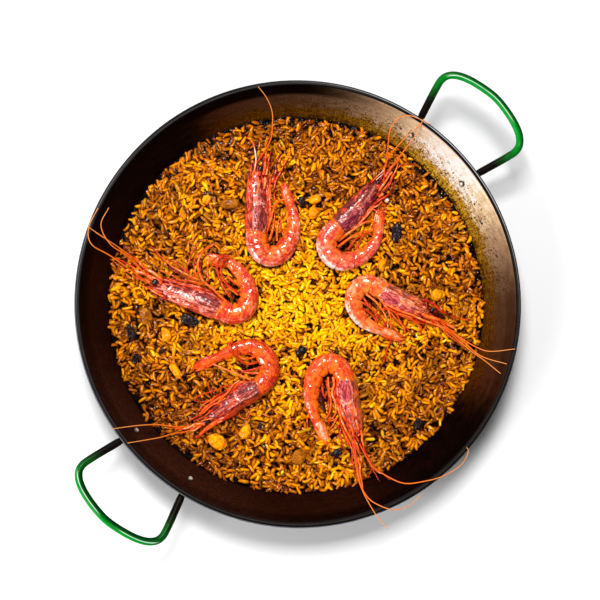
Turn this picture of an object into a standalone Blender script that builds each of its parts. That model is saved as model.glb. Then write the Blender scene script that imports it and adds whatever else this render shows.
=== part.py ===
"""Pan of prawn rice.

A wide, shallow steel pan with two riveted loop handles holds a layer of rice. Six whole prawns lie
on their sides on the rice, heads outwards, each curled round towards its own head, with chunks of
squid and dark scraps between them. Lengths are in metres, +Z is up, the handles lie along X, and
the origin is the centre of the pan's flat bottom.
"""

import math
import random
from collections import namedtuple

import bmesh
import bpy
import numpy as np
from mathutils import Matrix

GAP = 0.0003  # left between pieces that touch

# Pan, a turned steel sheet with a rolled bead round its rim.
RIM_RADIUS = 0.200
PAN_HEIGHT = 0.045
SHEET = 0.0015
BEAD_RADIUS = 0.00325
WALL_SLOPE = math.radians(53.5)
CORNER_RADIUS = 0.020
PAN_STEPS = 54
BEAD_STEPS = 6
CORNER_STEPS = 2

# Handles, each a bent rod with two flattened tabs riveted under the rim.
ROD_RADIUS = 0.0035
ROD_START_RADIUS = 0.0020  # where it is hammered thin to pass under the bead
HANDLE_BEARINGS = (0.0, math.radians(181.6))  # the second one is fitted a little askew
HANDLE_RISE = math.radians(15.0)
# Half of the loop, as distances out from the pan's axis and sideways from the handle's middle.
HANDLE_HALF = (
    (0.1896, 0.0333), (0.2040, 0.0381), (0.2270, 0.0452), (0.2365, 0.0468),
    (0.2435, 0.0437), (0.2495, 0.0350), (0.2540, 0.0200),
)
HANDLE_REACH = 0.2565
ROD_START_HEIGHT = 0.0343
TAB_WIDTH = 0.015
TAB_THICKNESS = 0.0025
TAB_BELOW_RIVET = 0.009
TAB_ABOVE_RIVET = 0.0075

# Rivets, four to the pan, set square to its wall.
RIVET_BEARING = math.radians(10.0)  # from the handle's middle
RIVET_HEIGHT = 0.0320
SHANK_RADIUS = 0.0019
HOLE_RADIUS = 0.0022
HEAD_RADIUS = 0.00275
HEAD_HEIGHT = 0.0018
TAIL_RADIUS = 0.0030
TAIL_HEIGHT = 0.0016
RIVET_STEPS = 8

# Rice, a layer with bumps, pressed flat where other food lies on it.
RICE_TOP = 0.0150
RICE_BUMP = 0.0013
RICE_SWELL = 0.0007
RICE_CELL = 0.0080
REST_HEIGHT = 0.0142  # underside of the food that lies on the rice
PRESSED_TOP = REST_HEIGHT - 0.0004
RICE_SEED = 41

# Prawns. Bends are the turns in degrees at the joints from the head to the tail fan.
Prawn = namedtuple("Prawn", "name rear heading carapace abdomen girth bends rostrum whiskers")
PRAWNS = (
    Prawn("prawn_1", (0.0195, 0.0720), 45.5, 0.056, 0.113, 1.0, (-3, 43, 57, 48, 12, 23, 17), (0.028, 0.0005),
          (((0.089, 0.121), (0.101, 0.130), (0.108, 0.138), (0.112, 0.149), (0.113, 0.161)),)),
    Prawn("prawn_2", (0.0749, 0.0220), 2.7, 0.054, 0.120, 0.97, (-12, 51, 50, 52, 13, 29, 34), (0.021, -0.0025),
          (((0.150, 0.031), (0.161, 0.041), (0.171, 0.049), (0.181, 0.051), (0.189, 0.047), (0.194, 0.038),
            (0.198, 0.026)),
           ((0.155, 0.025), (0.168, 0.027), (0.184, 0.029), (0.197, 0.034)))),
    Prawn("prawn_3", (-0.0537, 0.0483), 115.6, 0.057, 0.103, 0.99, (-11, 39, 51, 35, 20, 15, 39), (0.018, -0.001),
          (((-0.087, 0.149), (-0.092, 0.169), (-0.083, 0.181), (-0.065, 0.187)),
           ((-0.076, 0.136), (-0.080, 0.158), (-0.074, 0.175), (-0.058, 0.181)))),
    Prawn("prawn_4", (-0.0802, -0.0260), 166.8, 0.047, 0.110, 0.93, (5, 42, 39, 36, 35, 15, 0), (0.018, -0.002),
          (((-0.152, -0.002), (-0.166, 0.016), (-0.179, 0.029), (-0.196, 0.043)),
           ((-0.150, -0.008), (-0.164, 0.002), (-0.174, 0.008), (-0.196, 0.025)))),
    Prawn("prawn_5", (0.0611, -0.0467), -70.2, 0.043, 0.104, 0.91, (-16, 50, 51, 41, 23, 27, 8), (0.040, -0.008),
          (((0.080, -0.127), (0.083, -0.146), (0.088, -0.156), (0.103, -0.169)),
           ((0.077, -0.131), (0.077, -0.145), (0.078, -0.158), (0.078, -0.175)))),
    Prawn("prawn_6", (-0.0197, -0.0781), -125.7, 0.047, 0.111, 0.96, (11, 48, 57, 38, 12, 15, 15), (0.014, -0.005),
          (((-0.061, -0.147), (-0.060, -0.160), (-0.054, -0.178), (-0.040, -0.190), (-0.025, -0.199),
            (-0.007, -0.204), (0.006, -0.201), (0.008, -0.197)),
           ((-0.078, -0.148), (-0.085, -0.163), (-0.083, -0.176), (-0.077, -0.187), (-0.067, -0.194),
            (-0.050, -0.196)))),
)
# Rings along the carapace: share of its length in front of the rear joint, depth, thickness.
CARAPACE_RINGS = (
    (1.14, 0.0050, 0.0050), (1.00, 0.0100, 0.0085), (0.78, 0.0145, 0.0115),
    (0.45, 0.0185, 0.0135), (0.12, 0.0205, 0.0145), (0.01, 0.0190, 0.0138),
)
# Body segments behind it: share of the abdomen's length, depth, thickness.
SEGMENTS = (
    (0.108, 0.0180, 0.0135), (0.118, 0.0186, 0.0138), (0.127, 0.0180, 0.0132),
    (0.118, 0.0165, 0.0122), (0.108, 0.0145, 0.0108), (0.176, 0.0120, 0.0092),
)
SEGMENT_TAPER = 0.92  # of a segment's front ring, at its rear ring
# Rings along the tail fan: share of the fan's length, depth, thickness.
FAN_RINGS = ((0.10, 0.0085, 0.0066), (0.45, 0.0112, 0.0052), (0.80, 0.0090, 0.0040), (1.0, 0.0045, 0.0026))
BODY_SIDES = 8
EYE_RADIUS = 0.0022
LEG_COUNT = 4
LEG_RADIUS = 0.0010
SWIMMERET_COUNT = 3
SWIMMERET_RADIUS = 0.0011
SCALE_RADIUS = 0.0018
WHISKER_RADIUS = 0.0006
# Whiskers rise in a straight ramp from the rice to the rim, and lie level on it.
WHISKER_LOW = 0.021
WHISKER_HIGH = PAN_HEIGHT + 0.0025
RAMP_START = 0.148
RAMP_END = 0.196

# Squid chunks and dark scraps: name, place, length, width, height, turn in degrees.
Chunk = namedtuple("Chunk", "name place length width height turn")
SQUID = (
    Chunk("squid_1", (-0.103, 0.067), 0.014, 0.009, 0.007, 55),
    Chunk("squid_2", (-0.121, 0.038), 0.016, 0.007, 0.006, 80),
    Chunk("squid_3", (0.011, 0.126), 0.009, 0.008, 0.006, 10),
    Chunk("squid_4", (0.080, 0.055), 0.012, 0.009, 0.007, -40),
    Chunk("squid_12", (0.070, 0.047), 0.012, 0.010, 0.007, 20),
    Chunk("squid_5", (-0.141, -0.033), 0.019, 0.013, 0.007, 100),
    Chunk("squid_6", (-0.117, -0.045), 0.015, 0.011, 0.006, 30),
    Chunk("squid_7", (0.094, -0.087), 0.012, 0.011, 0.007, 0),
    Chunk("squid_8", (0.079, -0.031), 0.012, 0.007, 0.006, 40),
    Chunk("squid_9", (0.023, 0.108), 0.019, 0.010, 0.006, -45),
    Chunk("squid_10", (-0.104, 0.092), 0.017, 0.011, 0.006, 70),
    Chunk("squid_11", (-0.100, -0.096), 0.016, 0.013, 0.006, 15),
)
SCRAPS = (
    Chunk("scrap_1", (-0.079, 0.061), 0.018, 0.009, 0.006, -70),
    Chunk("scrap_2", (-0.124, 0.090), 0.011, 0.007, 0.005, 60),
    Chunk("scrap_3", (-0.138, 0.072), 0.010, 0.006, 0.005, 20),
    Chunk("scrap_4", (0.070, 0.062), 0.010, 0.006, 0.005, 50),
    Chunk("scrap_5", (0.111, -0.020), 0.018, 0.010, 0.006, 35),
    Chunk("scrap_6", (-0.029, -0.032), 0.011, 0.007, 0.005, -20),
    Chunk("scrap_7", (-0.074, -0.119), 0.009, 0.008, 0.005, 0),
    Chunk("scrap_8", (-0.004, -0.155), 0.012, 0.008, 0.005, 30),
)
CHUNK_ROUGHNESS = 0.13  # of its size, the depth of a chunk's dents
CHUNK_ROUND = 8
CHUNK_LEVELS = 5


def made_material(name, colour, roughness, metallic=0.0):
    """A Principled material of one colour."""
    made = bpy.data.materials.new(name)
    made.use_nodes = True
    shader = made.node_tree.nodes["Principled BSDF"]
    shader.inputs["Base Color"].default_value = (*colour, 1.0)
    shader.inputs["Roughness"].default_value = roughness
    shader.inputs["Metallic"].default_value = metallic
    return made


def add_object(name, data, material, collection):
    """An object on this mesh or curve, with its one material."""
    data.materials.append(material)
    made = bpy.data.objects.new(name, data)
    collection.objects.link(made)
    return made


def mesh_from(name, bm):
    """A smooth-shaded mesh from a bmesh, which is freed."""
    bmesh.ops.recalc_face_normals(bm, faces=bm.faces)
    mesh = bpy.data.meshes.new(name)
    bm.to_mesh(mesh)
    bm.free()
    mesh.shade_smooth()
    mesh.set_sharp_from_angle(angle=math.radians(40))
    return mesh


def turned(name, profile, steps, material, collection):
    """A profile of (radius, height) points turned about the Z axis, its outer side running down."""
    mesh = bpy.data.meshes.new(name)
    mesh.from_pydata([(r, 0, z) for r, z in profile], [(i, i + 1) for i in range(len(profile) - 1)], [])
    made = add_object(name, mesh, material, collection)
    screw = made.modifiers.new("Turned", "SCREW")
    screw.steps = screw.render_steps = steps
    screw.use_merge_vertices = True
    screw.merge_threshold = 0.00001
    return made


def rod(name, points, radii, sides, material, collection, spline_type="POLY"):
    """A round rod along the points, with a radius at each. A Bezier spline is smooth through them."""
    curve = bpy.data.curves.new(name, "CURVE")
    curve.dimensions = "3D"
    curve.bevel_depth = 1.0
    curve.bevel_resolution = (sides - 4) // 2
    curve.use_fill_caps = True
    curve.resolution_u = 2
    spline = curve.splines.new(spline_type)
    knots = spline.bezier_points if spline_type == "BEZIER" else spline.points
    knots.add(len(points) - 1)
    for knot, point, radius in zip(knots, points, radii):
        knot.radius = radius
        if spline_type == "BEZIER":
            knot.co = point
            knot.handle_left_type = knot.handle_right_type = "AUTO"
        else:
            knot.co = (*point, 1.0)
    return as_mesh(add_object(name, curve, material, collection))


def as_mesh(made):
    """The object as a plain mesh with its modifiers applied and a curve's caps welded."""
    bpy.context.view_layer.update()
    graph = bpy.context.evaluated_depsgraph_get()
    mesh = bpy.data.meshes.new_from_object(made.evaluated_get(graph))
    bm = bmesh.new()
    bm.from_mesh(mesh)
    bmesh.ops.remove_doubles(bm, verts=bm.verts, dist=0.00001)
    bm.to_mesh(mesh)
    bm.free()
    name, place, homes = made.name, made.matrix_world.copy(), list(made.users_collection)
    bpy.data.objects.remove(made)
    solid = bpy.data.objects.new(name, mesh)
    solid.matrix_world = place
    for home in homes:
        home.objects.link(solid)
    return solid


def joined(target, operation, helpers):
    """The target with every object of the helpers collection fused to it or cut from it, which are removed."""
    boolean = target.modifiers.new("Joined", "BOOLEAN")
    boolean.operation = operation
    boolean.operand_type = "COLLECTION"
    boolean.collection = helpers
    boolean.solver = "EXACT"
    solid = as_mesh(target)
    for helper in list(helpers.objects):
        bpy.data.objects.remove(helper)
    return solid


def arc(centre, radius, start, end, steps):
    """Points of an arc in the radius-height plane, both ends included; angles in radians."""
    angles = np.linspace(start, end, steps + 1)
    return [(centre[0] + radius * math.cos(a), centre[1] + radius * math.sin(a)) for a in angles]


def bead_centre():
    return RIM_RADIUS - BEAD_RADIUS, PAN_HEIGHT - BEAD_RADIUS


def wall_radius(height, inset=0.0):
    """Radius of the wall's inner face at a height, moved square to the wall by the inset."""
    centre_radius, centre_height = bead_centre()
    top_radius = centre_radius - BEAD_RADIUS * math.sin(WALL_SLOPE)
    top_height = centre_height + BEAD_RADIUS * math.cos(WALL_SLOPE)
    return top_radius - (top_height - height) / math.tan(WALL_SLOPE) - inset / math.sin(WALL_SLOPE)


def corner_centre():
    """Centre of the arc that rounds the floor into the wall."""
    foot = wall_radius(SHEET)
    return foot - CORNER_RADIUS * math.tan(WALL_SLOPE / 2), SHEET + CORNER_RADIUS


def build_pan(material, collection, cutters):
    """The pan: floor, rounded corner, sloping wall and rolled bead, with the rivets' holes."""
    centre = corner_centre()
    down = -math.pi / 2
    inner = arc(centre, CORNER_RADIUS, down, down + WALL_SLOPE, CORNER_STEPS)
    bead_top = math.pi / 2 + WALL_SLOPE
    under = math.acos((BEAD_RADIUS - SHEET) / BEAD_RADIUS)
    bead = arc(bead_centre(), BEAD_RADIUS, bead_top, bead_top + under - 2 * math.pi, BEAD_STEPS)
    outer = arc(centre, CORNER_RADIUS + SHEET, down + WALL_SLOPE, down, CORNER_STEPS)
    profile = [(0, SHEET), *inner, *bead, *outer, (0, 0)]
    pan = as_mesh(turned("pan", profile, PAN_STEPS, material, collection))
    for bearing in rivet_bearings():
        cutter = cylinder(f"hole_{len(cutters.objects)}", HOLE_RADIUS, -SHEET, 3 * SHEET, material, cutters)
        cutter.matrix_world = rivet_frame(bearing)
    return joined(pan, "DIFFERENCE", cutters)


def rivet_bearings():
    """Directions of the four rivets about the pan's axis."""
    return [side + turn for side in HANDLE_BEARINGS for turn in (-RIVET_BEARING, RIVET_BEARING)]


def tab_underside():
    """How far the tabs lie out from the wall's inner face, clear of the edges between its facets."""
    facet_sag = wall_radius(RIVET_HEIGHT) * (1 - math.cos(math.pi / PAN_STEPS))
    return SHEET + facet_sag + GAP


def rivet_frame(bearing):
    """At the middle of a facet of the wall's inner face: X round the pan, Y up the wall, Z out through it."""
    flat = wall_radius(RIVET_HEIGHT) * math.cos(math.pi / PAN_STEPS)
    local = Matrix.Rotation(math.pi / 2 - WALL_SLOPE, 4, "Y") @ Matrix.Rotation(math.pi / 2, 4, "Y")
    place = Matrix.Rotation(bearing, 4, "Z") @ Matrix.Translation((flat, 0, RIVET_HEIGHT)) @ local
    return place @ Matrix.Rotation(math.pi / 2, 4, "Z")


def cylinder(name, radius, low, high, material, collection):
    """A straight round bar along its own Z axis, between two heights."""
    bm = bmesh.new()
    bmesh.ops.create_cone(
        bm, cap_ends=True, segments=12, radius1=radius, radius2=radius, depth=high - low,
        matrix=Matrix.Translation((0, 0, (low + high) / 2)),
    )
    return add_object(name, mesh_from(name, bm), material, collection)


def build_rivets(material, collection):
    """Four rivets through the wall and the tabs: a domed head inside and a peened tail outside."""
    tail = tab_underside() + TAB_THICKNESS + GAP
    profile = [
        (0, tail + TAIL_HEIGHT), (TAIL_RADIUS * 0.7, tail + TAIL_HEIGHT * 0.8), (TAIL_RADIUS, tail),
        (SHANK_RADIUS, tail), (SHANK_RADIUS, -GAP), (HEAD_RADIUS, -GAP),
        (HEAD_RADIUS * 0.75, -GAP - HEAD_HEIGHT * 0.75), (0, -GAP - HEAD_HEIGHT),
    ]
    for number, bearing in enumerate(rivet_bearings(), 1):
        rivet = turned(f"rivet_{number}", profile, RIVET_STEPS, material, collection)
        rivet.matrix_world = rivet_frame(bearing)


def handle_route():
    """The rod's centre line round the loop at +X, from one tab to the other."""
    half = [(a, b, ROD_START_HEIGHT + (a - HANDLE_HALF[0][0]) * math.tan(HANDLE_RISE)) for a, b in HANDLE_HALF]
    end = (HANDLE_REACH, 0, ROD_START_HEIGHT + (HANDLE_REACH - HANDLE_HALF[0][0]) * math.tan(HANDLE_RISE))
    return half + [end] + [(a, -b, z) for a, b, z in reversed(half)]


def build_handles(material, collection, helpers, cutters):
    """Two loop handles, each a bent rod fused to its two flat tabs and bored for the rivets."""
    route = handle_route()
    radii = [ROD_START_RADIUS, *[ROD_RADIUS] * (len(route) - 2), ROD_START_RADIUS]
    low = tab_underside()
    for number, side in enumerate(HANDLE_BEARINGS, 1):
        name = f"handle_{number}"
        handle = rod(name, route, radii, 8, material, collection, "BEZIER")
        handle.matrix_world = Matrix.Rotation(side, 4, "Z")
        for turn in (-RIVET_BEARING, RIVET_BEARING):
            tab = tab_plate(f"tab_{len(helpers.objects)}", low, material, helpers)
            tab.matrix_world = rivet_frame(side + turn)
        handle = joined(handle, "UNION", helpers)
        for turn in (-RIVET_BEARING, RIVET_BEARING):
            hole = cylinder(f"bore_{len(cutters.objects)}", HOLE_RADIUS, 0, low + 2 * TAB_THICKNESS, material, cutters)
            hole.matrix_world = rivet_frame(side + turn)
        joined(handle, "DIFFERENCE", cutters)


def tab_plate(name, low, material, collection):
    """A flat tab against the outside of the wall, longer above the rivet than below it."""
    bm = bmesh.new()
    bmesh.ops.create_cube(bm, size=1.0)
    length = TAB_BELOW_RIVET + TAB_ABOVE_RIVET
    bmesh.ops.scale(bm, verts=bm.verts, vec=(TAB_WIDTH, length, TAB_THICKNESS))
    middle = ((0, (TAB_ABOVE_RIVET - TAB_BELOW_RIVET) / 2, low + TAB_THICKNESS / 2))
    bmesh.ops.translate(bm, verts=bm.verts, vec=middle)
    upright = [e for e in bm.edges if abs((e.verts[0].co - e.verts[1].co).z) > TAB_THICKNESS / 2]
    bmesh.ops.bevel(bm, geom=upright, offset=TAB_WIDTH * 0.35, segments=2, profile=0.5, affect="EDGES")
    return add_object(name, mesh_from(name, bm), material, collection)


def smoothed(points, rounds=2):
    """The polyline with its corners cut, a quarter in from each end of every side, this many times."""
    points = np.asarray(points, float)
    for _ in range(rounds):
        near = points[:-1] * 0.75 + points[1:] * 0.25
        far = points[:-1] * 0.25 + points[1:] * 0.75
        middle = np.stack([near, far], 1).reshape(-1, points.shape[1])
        points = np.vstack([points[:1], middle, points[-1:]])
    return points


def direction(degrees):
    return np.array([math.cos(math.radians(degrees)), math.sin(math.radians(degrees))])


def quarter_turn(vector):
    """A plan vector turned a quarter to the left, or each row of an array of them."""
    return np.stack([-vector[..., 1], vector[..., 0]], -1)


class PrawnShape:
    """A prawn's centre line in plan, read by distance behind the joint at the rear of its carapace."""

    def __init__(self, prawn):
        self.prawn = prawn
        self.head = direction(prawn.heading)
        self.belly = -quarter_turn(self.head)
        self.rear = np.array(prawn.rear)
        corners = [self.rear + self.head * prawn.carapace * CARAPACE_RINGS[0][0], self.rear]
        heading = prawn.heading + 180
        shares = [share for share, _, _ in SEGMENTS]
        shares.append(1 - sum(shares))
        for share, bend in zip(shares, prawn.bends):
            heading += bend
            corners.append(corners[-1] + direction(heading) * share * prawn.abdomen)
        self.line = smoothed(corners)
        steps = np.hypot(*np.diff(self.line, axis=0).T)
        self.distance = np.concatenate([[0], np.cumsum(steps)])
        self.distance *= sum(np.hypot(*np.diff(corners, axis=0).T)) / self.distance[-1]
        self.distance -= prawn.carapace * CARAPACE_RINGS[0][0]

    def at(self, distance):
        """Plan point on the centre line."""
        return np.array([np.interp(distance, self.distance, self.line[:, i]) for i in (0, 1)])

    def side(self, distance):
        """Plan direction towards the belly."""
        step = 0.002
        along = self.at(distance + step) - self.at(distance - step)
        return quarter_turn(along / np.hypot(*along))

    def local(self, forward, belly, height):
        """Point given forward of the rear joint, towards the belly and above the rice."""
        plan = self.rear + self.head * forward + self.belly * belly
        return (*plan, REST_HEIGHT + height)

    def stations(self):
        """(distance, depth, thickness) of each ring of the body, from head to tail."""
        girth = self.prawn.girth
        rings = [(-share * self.prawn.carapace, depth, thick) for share, depth, thick in CARAPACE_RINGS]
        start = 0.0
        for share, depth, thick in SEGMENTS:
            length = share * self.prawn.abdomen
            rings.append((start + 0.12 * length, depth, thick))
            rings.append((start + 0.97 * length, depth * SEGMENT_TAPER, thick * SEGMENT_TAPER))
            start += length
        fan = self.prawn.abdomen - start
        rings += [(start + share * fan, depth, thick) for share, depth, thick in FAN_RINGS]
        return [(distance, depth * girth, thick * girth) for distance, depth, thick in rings]

    def covers(self, x, y, margin):
        """Whether the body, grown by the margin, stands over this plan point."""
        distances = np.array([ring[0] for ring in self.stations()])
        halves = np.array([ring[1] for ring in self.stations()]) / 2
        spots = np.linspace(distances[0], distances[-1], 60)
        line = np.stack([self.at(s) for s in spots])
        away = np.hypot(line[:, 0] - x, line[:, 1] - y) - np.interp(spots, distances, halves)
        return away.min() < margin


def prawn_body(shape, material, collection):
    """The shell as a loft of rings from the head to the tip of the tail fan, lying on its side."""
    bm = bmesh.new()
    rings = []
    for distance, depth, thick in shape.stations():
        centre, belly = shape.at(distance), shape.side(distance)
        ring = []
        for k in range(BODY_SIDES):
            angle = 2 * math.pi * k / BODY_SIDES
            plan = centre + belly * math.cos(angle) * depth / 2
            ring.append(bm.verts.new((*plan, REST_HEIGHT + thick / 2 * (1 + math.sin(angle)))))
        rings.append(ring)
    for first, second in zip(rings, rings[1:]):
        for k in range(BODY_SIDES):
            n = (k + 1) % BODY_SIDES
            bm.faces.new((first[k], first[n], second[n], second[k]))
    bm.faces.new(rings[0])
    bm.faces.new(rings[-1])
    name = shape.prawn.name
    return add_object(name, mesh_from(name, bm), material, collection)


def prawn_limbs(shape, material, helpers):
    """Rostrum, antennal scales, legs and swimmerets as tapered strands, their roots inside the body."""
    front = shape.prawn.carapace
    tip, tip_side = shape.prawn.rostrum
    strands = [
        ([(0.75 * front, -0.004, 0.009), (front + 0.004, -0.0025, 0.010), (front + tip, tip_side, 0.010)],
         [0.0022, 0.0016, 0.0005]),
        ([(front, 0.001, 0.005), (front + 0.012, 0.003, 0.0068), (front + 0.026, 0.003, 0.0065)],
         [SCALE_RADIUS, SCALE_RADIUS, 0.0007]),
        ([(front, 0.002, 0.003), (front + 0.012, 0.0065, 0.0045), (front + 0.024, 0.008, 0.0045)],
         [SCALE_RADIUS, SCALE_RADIUS, 0.0007]),
    ]
    for k in range(LEG_COUNT):
        root = (0.22 + 0.17 * k) * front
        strands.append((
            [(root, 0.0068 - 0.0009 * k, 0.006), (root + 0.012, 0.0118 - 0.0004 * k, 0.0058),
             (0.78 * front + 0.004 * k, 0.0125 - 0.001 * k, 0.0052), (front + 0.005 + 0.004 * k, 0.0115, 0.0046)],
            [LEG_RADIUS * 1.3, LEG_RADIUS * 1.2, LEG_RADIUS, LEG_RADIUS * 0.5],
        ))
    for number, (points, radii) in enumerate(strands):
        places = [shape.local(*point) for point in points]
        rod(f"strand_{number}", places, radii, 4, material, helpers)
    start = 0.0
    for number, (share, depth, _) in enumerate(SEGMENTS[:SWIMMERET_COUNT]):
        middle = start + share * shape.prawn.abdomen / 2
        start += share * shape.prawn.abdomen
        side = shape.side(middle)
        root = shape.at(middle) + side * (depth / 2 * shape.prawn.girth - 0.002)
        knee = root + (side * 0.75 + shape.head * 0.65) * 0.007
        end = knee + (shape.head + shape.belly * 0.05 * (number - 2)) * 0.011
        radii = [SWIMMERET_RADIUS * 1.2, SWIMMERET_RADIUS, SWIMMERET_RADIUS * 0.5]
        heights = [REST_HEIGHT + height for height in (0.0062, 0.0062, 0.0050)]
        places = [(*plan, height) for plan, height in zip((root, knee, end), heights)]
        rod(f"swimmeret_{number}", places, radii, 4, material, helpers)


def whisker_height(x, y):
    """Height of a whisker's centre, on a ramp from the rice to the rim."""
    share = (math.hypot(x, y) - RAMP_START) / (RAMP_END - RAMP_START)
    return WHISKER_LOW + (WHISKER_HIGH - WHISKER_LOW) * min(max(share, 0.0), 1.0)


def prawn_whiskers(shape, material, helpers):
    """Long thin whiskers from the head, out over the wall or along the rim."""
    front = shape.prawn.carapace
    for number, route in enumerate(shape.prawn.whiskers):
        start = shape.local(front + 0.006, 0.001 + 0.002 * number, 0.006)[:2]
        points = [(x, y, whisker_height(x, y)) for x, y in (start, *route)]
        radii = np.linspace(WHISKER_RADIUS * 1.3, WHISKER_RADIUS, len(points))
        rod(f"whisker_{number}", points, radii, 4, material, helpers)


def prawn_eye(shape, material, helpers):
    """The eye that faces up, part sunk in the head."""
    bm = bmesh.new()
    bmesh.ops.create_uvsphere(bm, u_segments=6, v_segments=4, radius=EYE_RADIUS)
    eye = add_object("eye", mesh_from("eye", bm), material, helpers)
    eye.matrix_world = Matrix.Translation(shape.local(shape.prawn.carapace + 0.0015, 0.0005, 0.0078))


def build_prawns(material, collection, helpers):
    """Six whole prawns, each one fused solid."""
    for prawn in PRAWNS:
        shape = PrawnShape(prawn)
        body = prawn_body(shape, material, collection)
        prawn_limbs(shape, material, helpers)
        prawn_whiskers(shape, material, helpers)
        prawn_eye(shape, material, helpers)
        joined(body, "UNION", helpers)


def build_chunk(chunk, material, collection, draw):
    """One lumpy chunk, its underside resting on the rice."""
    bm = bmesh.new()
    bmesh.ops.create_uvsphere(bm, u_segments=CHUNK_ROUND, v_segments=CHUNK_LEVELS, radius=0.5)
    for vert in bm.verts:
        vert.co *= 1 + CHUNK_ROUGHNESS * draw.uniform(-1, 1)
    lows = [min(vert.co[i] for vert in bm.verts) for i in range(3)]
    highs = [max(vert.co[i] for vert in bm.verts) for i in range(3)]
    sizes = (chunk.length, chunk.width, chunk.height)
    for vert in bm.verts:
        vert.co = [(vert.co[i] - (lows[i] + highs[i]) / 2) * sizes[i] / (highs[i] - lows[i]) for i in range(3)]
    made = add_object(chunk.name, mesh_from(chunk.name, bm), material, collection)
    made.location = (*chunk.place, REST_HEIGHT + chunk.height / 2)
    made.rotation_euler.z = math.radians(chunk.turn)


def rice_body(material, cutters):
    """What the pan can hold up to its rim, a gap clear of its floor and wall."""
    centre = corner_centre()
    down = -math.pi / 2
    corner = arc(centre, CORNER_RADIUS - GAP, down + WALL_SLOPE, down, CORNER_STEPS)
    top = PAN_HEIGHT - BEAD_RADIUS
    profile = [(0, top), (wall_radius(top, GAP), top), *corner, (0, SHEET + GAP)]
    return as_mesh(turned("rice_body", profile, PAN_STEPS, material, cutters))


def build_rice(material, collection, cutters):
    """The rice: a bumpy slab kept to the inside of the pan, pressed flat under what lies on it."""
    draw = random.Random(RICE_SEED)
    shapes = [PrawnShape(prawn) for prawn in PRAWNS]
    cells = 2 * math.ceil(wall_radius(RICE_TOP) / RICE_CELL) + 2
    bm = bmesh.new()
    bmesh.ops.create_grid(bm, x_segments=cells, y_segments=cells, size=cells * RICE_CELL / 2)
    for vert in bm.verts:
        x, y = vert.co.x, vert.co.y
        swell = math.sin(x * 61 + 1.3) * math.cos(y * 53 - 0.4)
        vert.co.z = RICE_TOP + RICE_SWELL * swell + draw.uniform(-1, 1) * RICE_BUMP
        chunks = (math.hypot(c.place[0] - x, c.place[1] - y) - c.length / 2 for c in SQUID + SCRAPS)
        if min(chunks) < RICE_CELL or any(shape.covers(x, y, RICE_CELL) for shape in shapes):
            vert.co.z = PRESSED_TOP
    below = bmesh.ops.extrude_face_region(bm, geom=bm.faces[:])["geom"]
    for vert in below:
        if isinstance(vert, bmesh.types.BMVert):
            vert.co.z = -SHEET
    rice = add_object("rice", mesh_from("rice", bm), material, collection)
    rice_body(material, cutters)
    joined(rice, "INTERSECT", cutters)


def main():
    for old in list(bpy.data.objects):
        bpy.data.objects.remove(old)
    scene = bpy.context.scene.collection
    dish, helpers, cutters = (bpy.data.collections.new(name) for name in ("pan_of_prawn_rice", "helpers", "cutters"))
    for made in (dish, helpers, cutters):
        scene.children.link(made)

    black_steel = made_material("pan_steel", (0.020, 0.013, 0.010), 0.35, 0.6)
    enamel = made_material("green_coating", (0.010, 0.230, 0.045), 0.25)
    bright_steel = made_material("rivet_steel", (0.60, 0.58, 0.55), 0.30, 1.0)
    golden_rice = made_material("rice", (0.70, 0.36, 0.02), 0.45)
    shell = made_material("prawn_shell", (0.72, 0.10, 0.04), 0.25)
    flesh = made_material("squid", (0.85, 0.45, 0.05), 0.35)
    dark = made_material("dark_scrap", (0.05, 0.03, 0.03), 0.35)

    build_pan(black_steel, dish, cutters)
    build_handles(enamel, dish, helpers, cutters)
    build_rivets(bright_steel, dish)
    build_rice(golden_rice, dish, cutters)
    build_prawns(shell, dish, helpers)
    draw = random.Random(RICE_SEED + 1)
    for chunk in SQUID:
        build_chunk(chunk, flesh, dish, draw)
    for chunk in SCRAPS:
        build_chunk(chunk, dark, dish, draw)


main()
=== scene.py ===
"""Looks of the pan of prawn rice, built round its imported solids.

A black steel pan with green loop handles is filled with golden rice. Six prawns lie curled on it,
heads outwards, with squid chunks and dark scraps between them. Every piece rides on the one body,
lengths are in metres, +Z is up and the handles lie along X.
"""

import logging
import math
from dataclasses import dataclass, field
from enum import Enum

import bpy
import numpy as np
from mathutils import Matrix

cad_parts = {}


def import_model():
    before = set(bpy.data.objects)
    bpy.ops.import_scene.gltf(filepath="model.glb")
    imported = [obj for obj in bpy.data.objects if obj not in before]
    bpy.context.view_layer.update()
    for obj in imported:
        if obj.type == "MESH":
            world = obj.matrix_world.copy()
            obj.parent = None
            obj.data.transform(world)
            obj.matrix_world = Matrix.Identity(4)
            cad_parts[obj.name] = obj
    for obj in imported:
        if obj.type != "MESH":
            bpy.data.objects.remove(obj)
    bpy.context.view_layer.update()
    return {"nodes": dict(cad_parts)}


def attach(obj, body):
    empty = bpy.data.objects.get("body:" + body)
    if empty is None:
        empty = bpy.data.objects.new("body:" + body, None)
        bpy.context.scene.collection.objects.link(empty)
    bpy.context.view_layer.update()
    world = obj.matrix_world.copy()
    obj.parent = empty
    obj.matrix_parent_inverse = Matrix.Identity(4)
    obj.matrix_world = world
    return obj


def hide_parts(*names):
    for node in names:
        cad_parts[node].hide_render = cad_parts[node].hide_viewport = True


LOG = logging.getLogger("prawn_rice")
Array = np.ndarray
Piece = bpy.types.Object
Colour = tuple[float, float, float]
Ramp = tuple[tuple[float, Colour], ...]  # positions from 0 to 1, each with its colour
Reading = "Socket | float"
UP = np.array([0.0, 0.0, 1.0])
LEVEL = np.array([1, 1, 0])  # times a vector, leaves its level part
MM = 0.001
TURN = 2 * math.pi
MIX_LOW, MIX_HIGH, MIX_RESULT = 6, 7, 2  # a Mix node's colour sockets
STRAND_STEP = 0.0013  # between the rings of a limb or whisker
STRAND_SIDES = 8


# Shader maths


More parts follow.
